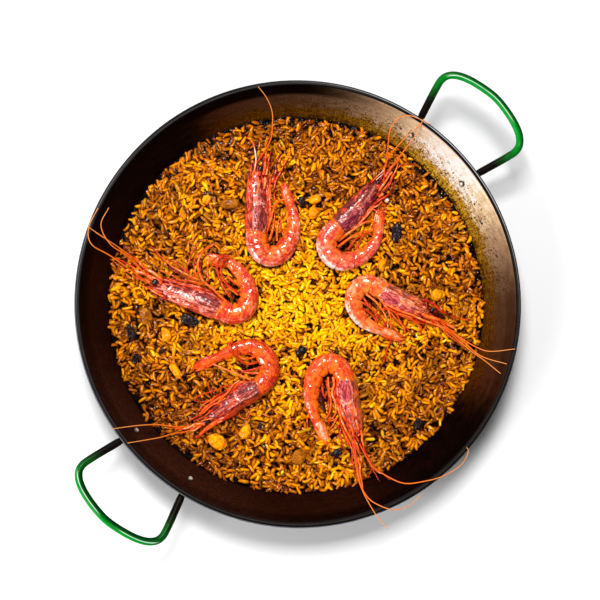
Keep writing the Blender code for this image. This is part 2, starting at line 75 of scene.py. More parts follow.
class Socket:
    """A number, colour or vector in a material. Arithmetic on it adds Math nodes."""

    def __init__(self, graph: "Graph", link: bpy.types.NodeSocket) -> None:
        """Wraps one output of a node."""
        self.graph = graph
        self.link = link

    def math(self, operation: str, *others: Reading) -> "Socket":
        """The result of a Math node with this operation, on this value and then the others."""
        return self.graph.node("ShaderNodeMath", {"operation": operation}, dict(enumerate((self, *others))))

    def __add__(self, other: Reading) -> "Socket":
        """Sum."""
        return self.math("ADD", other)

    __radd__ = __add__

    def __sub__(self, other: Reading) -> "Socket":
        """Difference."""
        return self.math("SUBTRACT", other)

    def __rsub__(self, other: Reading) -> "Socket":
        """Difference, with the number first."""
        return self.graph.node("ShaderNodeMath", {"operation": "SUBTRACT"}, {0: other, 1: self})

    def __mul__(self, other: Reading) -> "Socket":
        """Product."""
        return self.math("MULTIPLY", other)

    __rmul__ = __mul__

    def __truediv__(self, other: Reading) -> "Socket":
        """Quotient."""
        return self.math("DIVIDE", other)

    def __pow__(self, other: Reading) -> "Socket":
        """Power."""
        return self.math("POWER", other)

    def step(self, low: float, high: float) -> "Socket":
        """A smooth step: 0 where this value is at most low, and 1 where it is at least high."""
        values = {"Value": self, "From Min": low, "From Max": high}
        return self.graph.node("ShaderNodeMapRange", {"interpolation_type": "SMOOTHSTEP"}, values)

    def hump(self, middle: float, half: float) -> "Socket":
        """A bell: 1 where this value is at the middle, falling off as exp(-x * x) with x in halves."""
        away = (self - middle) / half
        return (away * away * -1.0).math("EXPONENT")


class Graph:
    """A material and the nodes that are added to it."""

    def __init__(self, name: str) -> None:
        """Makes an empty material.

        Args:
            name: the material's name.
        """
        self.material = bpy.data.materials.new(name)
        self.material.use_nodes = True
        self.tree = self.material.node_tree
        self.tree.nodes.clear()

    def add(self, kind: str, settings: dict | None = None, values: dict | None = None) -> bpy.types.Node:
        """Adds a node.

        Args:
            kind: the node's type.
            settings: its own settings, and "stops" for a ramp's positions and colours.
            values: numbers, colours or sockets for its inputs, by name or number.

        Returns:
            The node.
        """
        made = self.tree.nodes.new(kind)
        for key, value in (settings or {}).items():
            if key == "stops":
                self._stops(made.color_ramp, value)
            else:
                setattr(made, key, value)
        for key, value in (values or {}).items():
            target = made.inputs[key]
            if isinstance(value, Socket):
                self.tree.links.new(value.link, target)
            else:
                target.default_value = (*value, 1.0) if target.type == "RGBA" and len(value) == 3 else value
        return made

    def node(
        self, kind: str, settings: dict | None = None, values: dict | None = None, out: int | str = 0
    ) -> Socket:
        """Adds a node as add() does, and gives back its output of this name or number."""
        return Socket(self, self.add(kind, settings, values).outputs[out])

    @staticmethod
    def _stops(ramp: bpy.types.ColorRamp, stops: Ramp) -> None:
        """Gives a ramp its stops.

        Args:
            ramp: the node's ramp.
            stops: its positions and colours.
        """
        while len(ramp.elements) < len(stops):
            ramp.elements.new(1.0)
        for element, (position, colour) in zip(ramp.elements, stops):
            element.position = position
            element.color = (*colour, 1.0)

    def place(self) -> Socket:
        """Object coordinates, which are metres in the row's frame."""
        return self.node("ShaderNodeTexCoord", out="Object")

    def attribute(self, name: str) -> Socket:
        """A value that the piece's mesh holds at its points."""
        return self.node("ShaderNodeAttribute", {"attribute_name": name}, out="Fac")

    def split(self, vector: Socket) -> tuple[Socket, Socket, Socket]:
        """The X, Y and Z of a vector."""
        made = self.add("ShaderNodeSeparateXYZ", values={0: vector})
        return tuple(Socket(self, output) for output in made.outputs)

    def vector(self, x: Socket, y: Socket) -> Socket:
        """A vector with this X and Y and a Z of 0."""
        return self.node("ShaderNodeCombineXYZ", values={0: x, 1: y})

    def noise(
        self, at: Socket, scale: float, detail: float = 3.0, rough: float = 0.55, warp: float = 0.0
    ) -> Socket:
        """Noise from 0 to 1, with scale blobs to the metre and rough as each octave's share of the last."""
        values = {"Vector": at, "Scale": scale, "Detail": detail, "Roughness": rough, "Distortion": warp}
        return self.node("ShaderNodeTexNoise", values=values, out="Fac")

    def blend(self, share: Reading, low: Socket | Colour, high: Socket | Colour, mode: str = "MIX") -> Socket:
        """The low colour with this share of the high one mixed into it, in the way that mode says."""
        values = {0: share, MIX_LOW: low, MIX_HIGH: high}
        return self.node("ShaderNodeMix", {"data_type": "RGBA", "blend_type": mode}, values, MIX_RESULT)

    def ramp(self, value: Socket, stops: Ramp) -> Socket:
        """Colours along a value from 0 to 1."""
        return self.node("ShaderNodeValToRGB", {"stops": stops}, {0: value})

    def bump(self, height: Socket, depth: float, strength: float = 1.0) -> Socket:
        """The normal for relief whose height of 1 is depth metres, shown at this strength."""
        return self.node("ShaderNodeBump", values={"Height": height, "Distance": depth, "Strength": strength})

    def surface(self, **sockets: Reading) -> bpy.types.Material:
        """Ends the material in a Principled shader.

        Args:
            sockets: its inputs, with underscores for the spaces in their names.

        Returns:
            The finished material.
        """
        values = {name.replace("_", " "): value for name, value in sockets.items()}
        shader = self.node("ShaderNodeBsdfPrincipled", values=values)
        self.add("ShaderNodeOutputMaterial", values={"Surface": shader})
        return self.material


# Shapes as arrays


@dataclass
class Patch:
    """A surface as arrays: points, faces of four and of three corners, and values at the points."""

    points: Array
    quads: Array
    triangles: Array
    values: dict[str, Array] = field(default_factory=dict)


def tubes(rings: Array, values: dict[str, Array] | None = None) -> Patch:
    """Closed skins over stacks of rings.

    Every ring is joined to the next one point by point and round to its first point, and each end of
    a stack is closed by a fan to the middle of its end ring.

    Args:
        rings: (stacks, rings, points, 3) places, counter-clockwise seen from the last ring.
        values: named values that broadcast to (stacks, rings, points).

    Returns:
        The skins, facing outwards.
    """
    stacks, rows, columns, _ = rings.shape
    first = (np.arange(stacks) * rows * columns)[:, None]
    here = np.arange(columns)[None, :]
    after = (here + 1) % columns
    low = (first + np.arange(rows - 1)[None, :] * columns)[:, :, None]
    corners = [low + here, low + after, low + columns + after, low + columns + here]
    quads = np.stack(corners, -1).reshape(-1, 4)
    start = (rings[..., 0].size + np.arange(stacks))[:, None] + 0 * here
    last = first + (rows - 1) * columns
    fans = [
        np.stack([start, first + after, first + here], -1),
        np.stack([start + stacks, last + here, last + after], -1),
    ]
    held = {}
    for name, value in (values or {}).items():
        full = np.broadcast_to(value, rings.shape[:3])
        held[name] = np.concatenate([full.reshape(-1), full[:, 0].mean(1), full[:, -1].mean(1)])
    points = np.concatenate([rings.reshape(-1, 3), rings[:, 0].mean(1), rings[:, -1].mean(1)])
    return Patch(points, quads, np.concatenate(fans).reshape(-1, 3), held)


def together(patches: list[Patch]) -> Patch:
    """Several patches as one.

    Args:
        patches: patches with the same named values.

    Returns:
        All of them, with the point numbers in their faces moved on.
    """
    starts = np.cumsum([0] + [len(patch.points) for patch in patches])
    return Patch(
        np.concatenate([patch.points for patch in patches]),
        np.concatenate([patch.quads + start for patch, start in zip(patches, starts)]),
        np.concatenate([patch.triangles + start for patch, start in zip(patches, starts)]),
        {name: np.concatenate([patch.values[name] for patch in patches]) for name in patches[0].values},
    )


def curve_through(knots: Array, count: int) -> Array:
    """A smooth curve through its knots.

    Between two knots it is the Catmull-Rom cubic, whose slope at a knot is half of the step between
    that knot's neighbours, read at 16 places. It is then spaced evenly by length.

    Args:
        knots: (n, k) points.
        count: number of points wanted.

    Returns:
        (count, k) points.
    """
    knots = np.asarray(knots, float)
    padded = np.vstack([2 * knots[:1] - knots[1:2], knots, 2 * knots[-1:] - knots[-2:-1]])
    t = np.linspace(0, 1, 16, endpoint=False)[None, :, None]
    a, b, c, d = (padded[i : len(padded) - 3 + i, None, :] for i in range(4))
    fine = 0.5 * (2 * b + (c - a) * t + (2 * a - 5 * b + 4 * c - d) * t**2 + (3 * b - a - 3 * c + d) * t**3)
    fine = np.vstack([fine.reshape(-1, knots.shape[1]), knots[-1:]])
    run = np.concatenate([[0], np.cumsum(np.linalg.norm(np.diff(fine[:, :3], axis=0), axis=1))])
    spots = np.linspace(0, run[-1], count)
    return np.stack([np.interp(spots, run, fine[:, i]) for i in range(fine.shape[1])], 1)


def unit(vectors: Array) -> Array:
    """Vectors at length 1."""
    return vectors / np.maximum(np.linalg.norm(vectors, axis=-1, keepdims=True), 1e-12)


def around(sides: int) -> tuple[Array, Array]:
    """Cosine and sine of evenly spaced angles round a ring."""
    angles = np.arange(sides) * TURN / sides
    return np.cos(angles), np.sin(angles)


def sweep(path: Array, wide: Array | float, high: Array | float, sides: int) -> Array:
    """Rings along a path that never runs straight up.

    A ring is an ellipse square to the path, wide in the level direction and high across it.

    Args:
        path: (n, 3) points.
        wide: half-width at each point.
        high: half-height at each point.
        sides: points in a ring.

    Returns:
        (1, n, sides, 3) rings for tubes().
    """
    along = unit(np.gradient(path, axis=0))
    level = unit(np.cross(UP, along))
    upward = np.cross(along, level)
    cosine, sine = around(sides)
    wide = np.broadcast_to(wide, len(path))[:, None, None]
    high = np.broadcast_to(high, len(path))[:, None, None]
    aside = level[:, None] * cosine[:, None] * wide
    above = upward[:, None] * sine[:, None] * high
    return (path[:, None] + aside + above)[None]


def strand(knots: Array, widths: tuple[float, ...], tones: tuple[float, ...], flat: float = 1.0) -> Patch:
    """A limb or whisker: a tapered round or flattened rod on a smooth curve.

    Args:
        knots: (n, 3) points of its route.
        widths: diameters spread evenly along it.
        tones: colour values spread evenly along it.
        flat: height of its section as a share of the width.

    Returns:
        The strand, with its tone, lighter on top as painted light and darker beneath as painted shade, and
        its share of length at the points.
    """
    knots = np.asarray(knots, float)
    length = np.linalg.norm(np.diff(knots, axis=0), axis=1).sum()
    count = int(np.clip(length / STRAND_STEP, 8, 90))
    share = np.linspace(0, 1, count)
    half = np.interp(share, np.linspace(0, 1, len(widths)), widths) / 2
    rings = sweep(curve_through(knots, count), half, half * flat, STRAND_SIDES)
    tone = np.interp(share, np.linspace(0, 1, len(tones)), tones)[:, None]
    # painted light on top and painted shade beneath
    tone = tone + 0.13 * around(STRAND_SIDES)[1] - 0.06
    return tubes(rings, {"tone": tone[None], "along": share[None, :, None]})


def lathe(profile: Array, steps: int) -> Array:
    """A profile turned about Z: (r cos a, r sin a, h) at evenly spaced angles a.

    Args:
        profile: (n, 2) radii and heights, with its outer side to the right as it runs up.
        steps: how many angles.

    Returns:
        (1, n, steps, 3) rings for tubes().
    """
    cosine, sine = around(steps)
    radius, height = profile[:, :1], profile[:, 1:]
    return np.stack([radius * cosine, radius * sine, height + 0 * cosine], -1)[None]


def arc(centre: tuple[float, float], radius: float, start: float, end: float, steps: int) -> Array:
    """Points of an arc in a plane, both ends included, with angles in radians."""
    angles = np.linspace(start, end, steps + 1)
    return np.stack([centre[0] + radius * np.cos(angles), centre[1] + radius * np.sin(angles)], 1)


def ripple(points: Array, size: float, seed: int) -> Array:
    """Smooth random relief from about -1 to 1: the mean of nine sine waves in random directions.

    Args:
        points: (..., 3) places.
        size: length of a wave.
        seed: which waves.

    Returns:
        A value for each point.
    """
    draw = np.random.default_rng(seed)
    ways = unit(draw.normal(size=(9, 3))) * TURN / size * draw.uniform(0.7, 1.4, (9, 1))
    return np.sin(points @ ways.T + draw.uniform(0, TURN, 9)).mean(-1) * 2.2


def smooth(values: Array, low: float, high: float) -> Array:
    """0 up to low, 1 from high on, and 3t^2 - 2t^3 between."""
    t = np.clip((values - low) / (high - low), 0, 1)
    return t * t * (3 - 2 * t)


def pose(x: Array, y: Array, z: Array, place: Array) -> Matrix:
    """The matrix of an object with these axes at this place."""
    return Matrix(np.vstack([np.column_stack([x, y, z, place]), [0, 0, 0, 1]]).tolist())


def add_piece(name: str, patch: Patch, material: bpy.types.Material, slot: str, *nodes: str) -> Piece:
    """Puts a finished piece into the scene, riding on the body.

    Args:
        name: the piece's name.
        patch: its surface, in the row's frame.
        material: its finish.
        slot: the record's material slot that it stands for; not used.
        nodes: the CAD nodes that it replaces.

    Returns:
        The new object.
    """
    mesh = bpy.data.meshes.new(name)
    mesh.vertices.add(len(patch.points))
    mesh.vertices.foreach_set("co", patch.points.astype(np.float32).ravel())
    corners = np.concatenate([patch.quads.ravel(), patch.triangles.ravel()])
    counts = np.concatenate([np.full(len(patch.quads), 4), np.full(len(patch.triangles), 3)])
    mesh.loops.add(len(corners))
    mesh.loops.foreach_set("vertex_index", corners.astype(np.int32))
    mesh.polygons.add(len(counts))
    mesh.polygons.foreach_set("loop_start", (np.cumsum(counts) - counts).astype(np.int32))
    mesh.update(calc_edges=True)
    mesh.shade_smooth()
    for key, value in patch.values.items():
        held = mesh.attributes.new(key, "FLOAT", "POINT")
        held.data.foreach_set("value", value.astype(np.float32))
    mesh.materials.append(material)
    made = bpy.data.objects.new(name, mesh)
    bpy.context.scene.collection.objects.link(made)
    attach(made, "root")
    if nodes:
        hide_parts(*nodes)
    return made


# The photograph's view


@dataclass(frozen=True)
class View:
    """The photograph's camera, and where its pixels fall on the object."""

    place: tuple[float, float, float] = (-0.1476, 0.0360, 1.3361)
    back: tuple[float, float, float] = (-0.1138, 0.0262, 0.9932)
    up: tuple[float, float, float] = (0.7196, 0.6915, 0.0642)
    lens: float = 87.4  # millimetres
    sensor: float = 36.0  # millimetres
    picture: float = 600.0  # pixels

    def axes(self) -> tuple[Array, Array, Array]:
        """The camera's axes, each of length 1.

        Returns:
            Its right, up and back directions.
        """
        back = unit(np.array(self.back))
        right = unit(np.cross(self.up, back))
        return right, np.cross(back, right), back

    def level(self, pixels: Array, heights: Array) -> Array:
        """Points that show at these pixels and stand at these heights.

        Args:
            pixels: (n, 2) pixels of the photograph.
            heights: (n,) heights above the floor.

        Returns:
            (n, 3) points.
        """
        right, up, back = self.axes()
        middle, reach = self.picture / 2, self.lens / self.sensor * self.picture
        rays = (pixels[:, :1] - middle) / reach * right + (middle - pixels[:, 1:]) / reach * up - back
        return self.place + rays * ((heights - self.place[2]) / rays[:, 2])[:, None]

    def add_camera(self) -> None:
        """Makes the scene's camera."""
        data = bpy.data.cameras.new("photo_view")
        data.sensor_width = self.sensor
        data.lens = self.lens
        camera = bpy.data.objects.new("photo_view", data)
        camera.matrix_world = pose(*self.axes(), np.array(self.place))
        bpy.context.scene.collection.objects.link(camera)
        bpy.context.scene.camera = camera


VIEW = View()


# Finishes


@dataclass(frozen=True)
class PanFinish:
    """Seasoned black steel with a painted reflection of the key light, bright by one handle, and an oily band
    above the rice there.
    """

    dark: Colour = (0.0012, 0.0002, 0.0001)
    warm: Colour = (0.0085, 0.0015, 0.0004)
    rust: Colour = (0.0190, 0.0038, 0.0014)  # across from the side with the painted reflection
    tanned: Colour = (0.0360, 0.0095, 0.0050)  # by the other handle
    outside: Colour = (0.0016, 0.0013, 0.0012)
    speck: Colour = (0.0060, 0.0030, 0.0020)
    grease: Colour = (0.0450, 0.0140, 0.0012)  # along the rice
    lip: float = 0.1957  # radius at which the wall ends and the black bead begins
    blush: Colour = (0.62, 0.34, 0.23)  # just within the lip, on the bright side
    shine: Colour = (0.075, 0.056, 0.050)
    shine_at: tuple[float, float] = (0.1975, 0.2001)  # radii of two lines on the bead
    pale_and_glare: Colour = (0.76, 0.77, 0.79)
    glare_line_at: float = 0.1987  # radius of a thin painted highlight line on the bead, on the bright side
    painted_highlight: Colour = (0.23, 0.24, 0.29)
    edge_highlight_at: float = 0.2003  # radius of a painted highlight line at the bead's outer edge, across from there
    oily: Ramp = (  # the oily band above the rice, by the strength of the painted reflection: dark away from it, bright within it
        (0.00, (0.0040, 0.0010, 0.0002)),
        (0.07, (0.0600, 0.0140, 0.0005)),
        (0.15, (0.1050, 0.0340, 0.0010)),
        (0.45, (0.2900, 0.1250, 0.0035)),
        (0.75, (0.4300, 0.2000, 0.0100)),
        (1.00, (0.6400, 0.3400, 0.0260)),
    )
    bare: Ramp = (  # the wall above it, likewise: black to near white, a painted reflection
        (0.00, (0.0030, 0.0008, 0.0002)),
        (0.07, (0.0420, 0.0110, 0.0040)),
        (0.15, (0.0680, 0.0280, 0.0120)),
        (0.45, (0.3700, 0.2200, 0.1200)),
        (0.75, (0.8000, 0.5900, 0.3500)),
        (1.00, (0.9800, 0.9400, 0.8800)),
    )
    streaking: Ramp = ((0.42, (0.30, 0.27, 0.20)), (0.58, (1.40, 1.46, 1.40)))  # multiplies the oil
    soot: Ramp = ((0.42, (0.55, 0.50, 0.50)), (0.58, (1.50, 1.55, 1.60)))  # multiplies the black

    def material(self) -> bpy.types.Material:
        """The pan's material.

        Returns:
            The material.
        """
        graph = Graph("pan_steel")
        place = graph.place()
        x, y, z = graph.split(place)
        bearing = y.math("ARCTAN2", x)
        radius = (x * x + y * y) ** 0.5
        rolled = graph.vector(bearing * 0.06, z)
        spread = graph.vector(bearing * 0.15, z)
        mottle = graph.noise(rolled, 260, 5, 0.62)
        streaks = graph.noise(rolled, 620, 4, 0.7)
        fine = graph.noise(rolled, 1500, 4, 0.6)
        grit = graph.noise(spread, 900, 3, 0.6)
        crest = z.step(0.0425, 0.0430)
        bead = radius.step(self.lip - 0.0003, self.lip + 0.0003) * crest
        within = graph.attribute("inside").math("MAXIMUM", crest * (1 - bead))
        # glow: where the painted reflection of the key light lies on the wall, strongest by the +X handle,
        # with faint tails
        glow = bearing.hump(-0.07, 0.45) + bearing.hump(0.87, 0.40) * 0.13 + bearing.hump(-1.00, 0.38) * 0.09
        glow = glow * (1 + (mottle - 0.5) * 1.1 + (grit - 0.5) * 0.8)
        drips = graph.noise(graph.vector(bearing * 0.2, z * 0.12), 420, 4, 0.65)
        up = z + (mottle - 0.5) * 0.022 + (grit - 0.5) * 0.014 + (drips - 0.5) * 0.018
        tint = graph.ramp(streaks * 0.45 + grit * 0.35 + drips * 0.2, self.streaking)
        oily = graph.blend(1.0, graph.ramp(glow, self.oily), tint, "MULTIPLY")
        oily = graph.blend(1 - up.step(0.0135, 0.0190), oily, self.grease)
        bare = graph.ramp(glow + (fine - 0.5) * 0.25 * glow, self.bare)
        side = bearing.step(0.30, 0.75) + (bearing * -1.0).step(0.45, 1.0) * 0.4
        bare = graph.blend(side * (z + (mottle - 0.5) * 0.002).step(0.0345, 0.0385), bare, self.dark)
        # inside the painted reflection: the oily band low down and the brighter wall above it
        painted_reflection = graph.blend(up.step(0.0205, 0.0315), oily, bare)
        black = graph.blend(mottle.step(0.42, 0.75), self.dark, self.warm)
        black = graph.blend((x * -1.0).step(0.02, 0.11) * (0.25 + mottle), black, self.rust)
        black = graph.blend((x * -1.0).step(0.140, 0.195) * (0.3 + mottle * 1.2), black, self.tanned)
        calm = z.step(0.0335, 0.0400) * (1 - (x * -1.0).step(0.12, 0.18) * 0.4)
        black = graph.blend(calm * 0.8, black, self.dark)
        black = graph.blend(1.0, black, graph.ramp(streaks * 0.5 + grit * 0.5, self.soot), "MULTIPLY")
        colour = graph.blend(glow.step(0.02, 0.075), black, painted_reflection)
        cluster = graph.noise(spread, 150, 2).step(0.44, 0.58)
        dots = graph.noise(spread, 640, 1, 0.5).step(0.590, 0.620) * cluster
        spots = graph.noise(spread, 330, 1, 0.5).step(0.665, 0.680)
        marks = dots.math("MAXIMUM", spots) * z.hump(0.0275, 0.0085).step(0.12, 0.65) * glow.step(0.03, 0.30)
        colour = graph.blend(marks * 0.94, colour, self.speck)
        colour = graph.blend(radius.hump(self.lip - 0.0005, 0.0006) * glow.step(0.3, 0.8), colour, self.blush)
        colour = graph.blend(within, self.outside, colour)
        facing = bearing.hump(-0.05, 0.55) + bearing.hump(2.0, 0.40) * 0.2
        lines = radius.hump(self.shine_at[0], 0.0006) * 0.6 + radius.hump(self.shine_at[1], 0.0004)
        colour = graph.blend(lines * bead * (1 - facing) * (0.2 + mottle), colour, self.shine)
        # a thin painted highlight line along the bead, mainly where the wall has its painted reflection
        line = radius.hump(self.glare_line_at, 0.00035) * bead
        colour = graph.blend(line * facing * (0.4 + mottle), colour, self.pale_and_glare)
        # a painted highlight line at the bead's outer edge, on the -X side
        outermost = radius.hump(self.edge_highlight_at, 0.0004) * bead * (x * -1.0).step(0.02, 0.12)
        colour = graph.blend(outermost * (0.3 + mottle), colour, self.painted_highlight)
        rough = 0.42 + (fine - 0.5) * 0.25
        return graph.surface(
            Base_Color=colour, Roughness=rough, Metallic=glow.step(0.3, 0.8) * within * 0.35,
            Normal=graph.bump(fine, 0.0002, 0.6), Specular_IOR_Level=0.04,
        )


@dataclass(frozen=True)
class CoatingFinish:
    """Glossy green coating with painted light and shade round the rods and a painted highlight line along
    them, black towards the pan.
    """

    greens: Ramp = (  # from painted shade on the side facing +X to painted light on the side facing -X
        (0.00, (0.0006, 0.0080, 0.0012)),
        (0.30, (0.0005, 0.0520, 0.0040)),
        (0.50, (0.0005, 0.1350, 0.0090)),
        (0.75, (0.0005, 0.2500, 0.0180)),
        (1.00, (0.0010, 0.4400, 0.0400)),
    )
    painted_highlight: Colour = (0.780, 1.000, 0.840)
    black: Colour = (0.0050, 0.0026, 0.0018)

    def material(self) -> bpy.types.Material:
        """The handles' material.

        Returns:
            The material.
        """
        graph = Graph("green_coating")
        place = graph.place()
        leg, lit = graph.attribute("leg"), graph.attribute("lit")
        smoke = graph.noise(place, 160, 3)
        burnt = (leg + (smoke - 0.5) * 0.22).step(0.50, 1.10)
        green = graph.ramp(lit * 0.5 + 0.5 + (smoke - 0.5) * 0.2, self.greens)
        # a painted highlight line along the outer part of the loop, at the lit value that the wear value
        # gives
        line = (lit - graph.attribute("wear")).hump(0.0, 0.075) * leg.step(1.06, 1.19)
        green = graph.blend(line * graph.noise(place, 30, 2).step(0.35, 0.55) * 0.95, green, self.painted_highlight)
        colour = graph.blend(burnt, self.black, green)
        normal = graph.bump(graph.noise(place, 900, 2), 0.00006, 0.5)
        rough = 0.30 + (1 - burnt) * 0.15 + (smoke - 0.5) * 0.10
        return graph.surface(
            Base_Color=colour, Roughness=rough, Normal=normal, Specular_IOR_Level=0.03,
            Coat_Weight=0.02 + burnt * 0.06, Coat_Roughness=0.05,
        )


@dataclass(frozen=True)
class RivetFinish:
    """Plain steel, a little scratched, with painted shade round the rims of its head and tail."""

    steel: Colour = (0.74, 0.68, 0.55)
    rim_shade: Colour = (0.05, 0.035, 0.02)

    def material(self) -> bpy.types.Material:
        """The rivets' material.

        Returns:
            The material.
        """
        graph = Graph("rivet_steel")
        place = graph.place()
        wear = graph.noise(place, 900, 4)
        edge = graph.attribute("edge")
        # painted shade: darker towards the rims, broken up by the noise
        colour = graph.blend((wear * 0.5 + edge * 0.9).step(0.66, 0.90), self.steel, self.rim_shade)
        return graph.surface(
            Base_Color=colour, Roughness=0.25 + wear * 0.2, Metallic=0.35, Normal=graph.bump(wear, 0.0001)
        )


@dataclass(frozen=True)
class GrainFinish:
    """Oily saffron grains, from scorched brown to bright yellow, with painted shade that darkens them down in
    the gaps.
    """

    stops: Ramp = (
        (0.00, (0.045, 0.006, 0.0003)),
        (0.25, (0.190, 0.036, 0.0003)),
        (0.50, (0.620, 0.158, 0.0001)),
        (0.75, (1.000, 0.365, 0.0001)),
        (1.00, (1.000, 0.620, 0.0010)),
    )
    shade: Colour = (0.006, 0.0010, 0.0001)
    amber: Colour = (0.230, 0.052, 0.0002)
    sauced: Colour = (0.180, 0.050, 0.0020)
    glint: Colour = (1.000, 0.860, 0.640)
    heights: tuple[float, float, float] = (0.0116, 0.0128, 0.0151)  # heights of the painted shade: black, amber and full colour

    def material(self) -> bpy.types.Material:
        """The grains' material.

        Returns:
            The material.
        """
        graph = Graph("rice_grain")
        place = graph.place()
        x, y, z = graph.split(place)
        within = graph.noise(place, 380, 3)
        sauce = graph.noise(place, 130, 3)
        tone = graph.attribute("tone") + (within - 0.5) * 0.50 + (sauce - 0.5) * 0.45
        black, amber, full = self.heights
        # painted shade: the lower a point lies, the darker it is painted, through amber to black
        level = z + (within - 0.5) * 0.001
        depth = level.step(amber - 0.0006, full)
        under = graph.blend(level.step(black, amber), self.shade, self.amber)
        colour = graph.ramp(tone, self.stops)
        film = graph.noise(place, 42, 3).step(0.52, 0.62) * (x * x + y * y).step(0.0040, 0.0110)
        colour = graph.blend(film * 0.5, colour, self.sauced)
        colour = graph.blend(depth, under, colour)
        sparkle = graph.noise(place, 620, 1, 0.5)
        colour = graph.blend((sparkle + film * 0.02).step(0.735, 0.760) * depth * 0.9, colour, self.glint)
        wet = graph.noise(place, 520, 2)
        normal = graph.bump(graph.noise(place, 700, 3), 0.0005, 0.7)
        rough = 0.42 + (within - 0.5) * 0.3
        return graph.surface(
            Base_Color=colour, Roughness=rough, Normal=normal, Specular_IOR_Level=0.02,
            Coat_Weight=wet.step(0.49, 0.57) * depth, Coat_Roughness=0.07, Coat_IOR=1.5,
        )


@dataclass(frozen=True)
class BedFinish:
    """The amber sauce and cooked layer between the grains, with black pits of painted shade, and a black edge
    that is glossier.
    """

    dark: Colour = (0.0035, 0.0008, 0.0001)
    amber: Colour = (0.300, 0.078, 0.0003)
    brown: Colour = (0.100, 0.022, 0.0004)
    glint: Colour = (0.560, 0.420, 0.240)  # painted glints on the black edge, on the bright side
    edge: float = 0.166  # radius at which the black begins

    def material(self) -> bpy.types.Material:
        """The core's material.

        Returns:
            The material.
        """
        graph = Graph("rice_bed")
        place = graph.place()
        x, y, _ = graph.split(place)
        radius = (x * x + y * y) ** 0.5
        lumps = graph.noise(place, 330, 3)
        rim = radius.step(self.edge - 0.004, self.edge + 0.003)
        sauce = graph.blend(graph.noise(place, 60, 2).step(0.4, 0.6), self.brown, self.amber)
        # the black pits between the lumps are painted shade; the edge is black too
        colour = graph.blend(lumps.step(0.50, 0.55) * (1 - rim), self.dark, sauce)
        wet = graph.noise(place, 520, 2)
        spots = graph.noise(place, 640, 1, 0.5).step(0.69, 0.72) * rim * x.step(0.060, 0.130)
        colour = graph.blend(spots, colour, self.glint)
        normal = graph.bump(lumps, 0.0012)
        return graph.surface(
            Base_Color=colour, Roughness=0.45 - rim * 0.2, Normal=normal, Specular_IOR_Level=0.02,
            Coat_Weight=wet.step(0.48, 0.58) * lumps.step(0.50, 0.55) * 0.4, Coat_Roughness=0.08,
        )


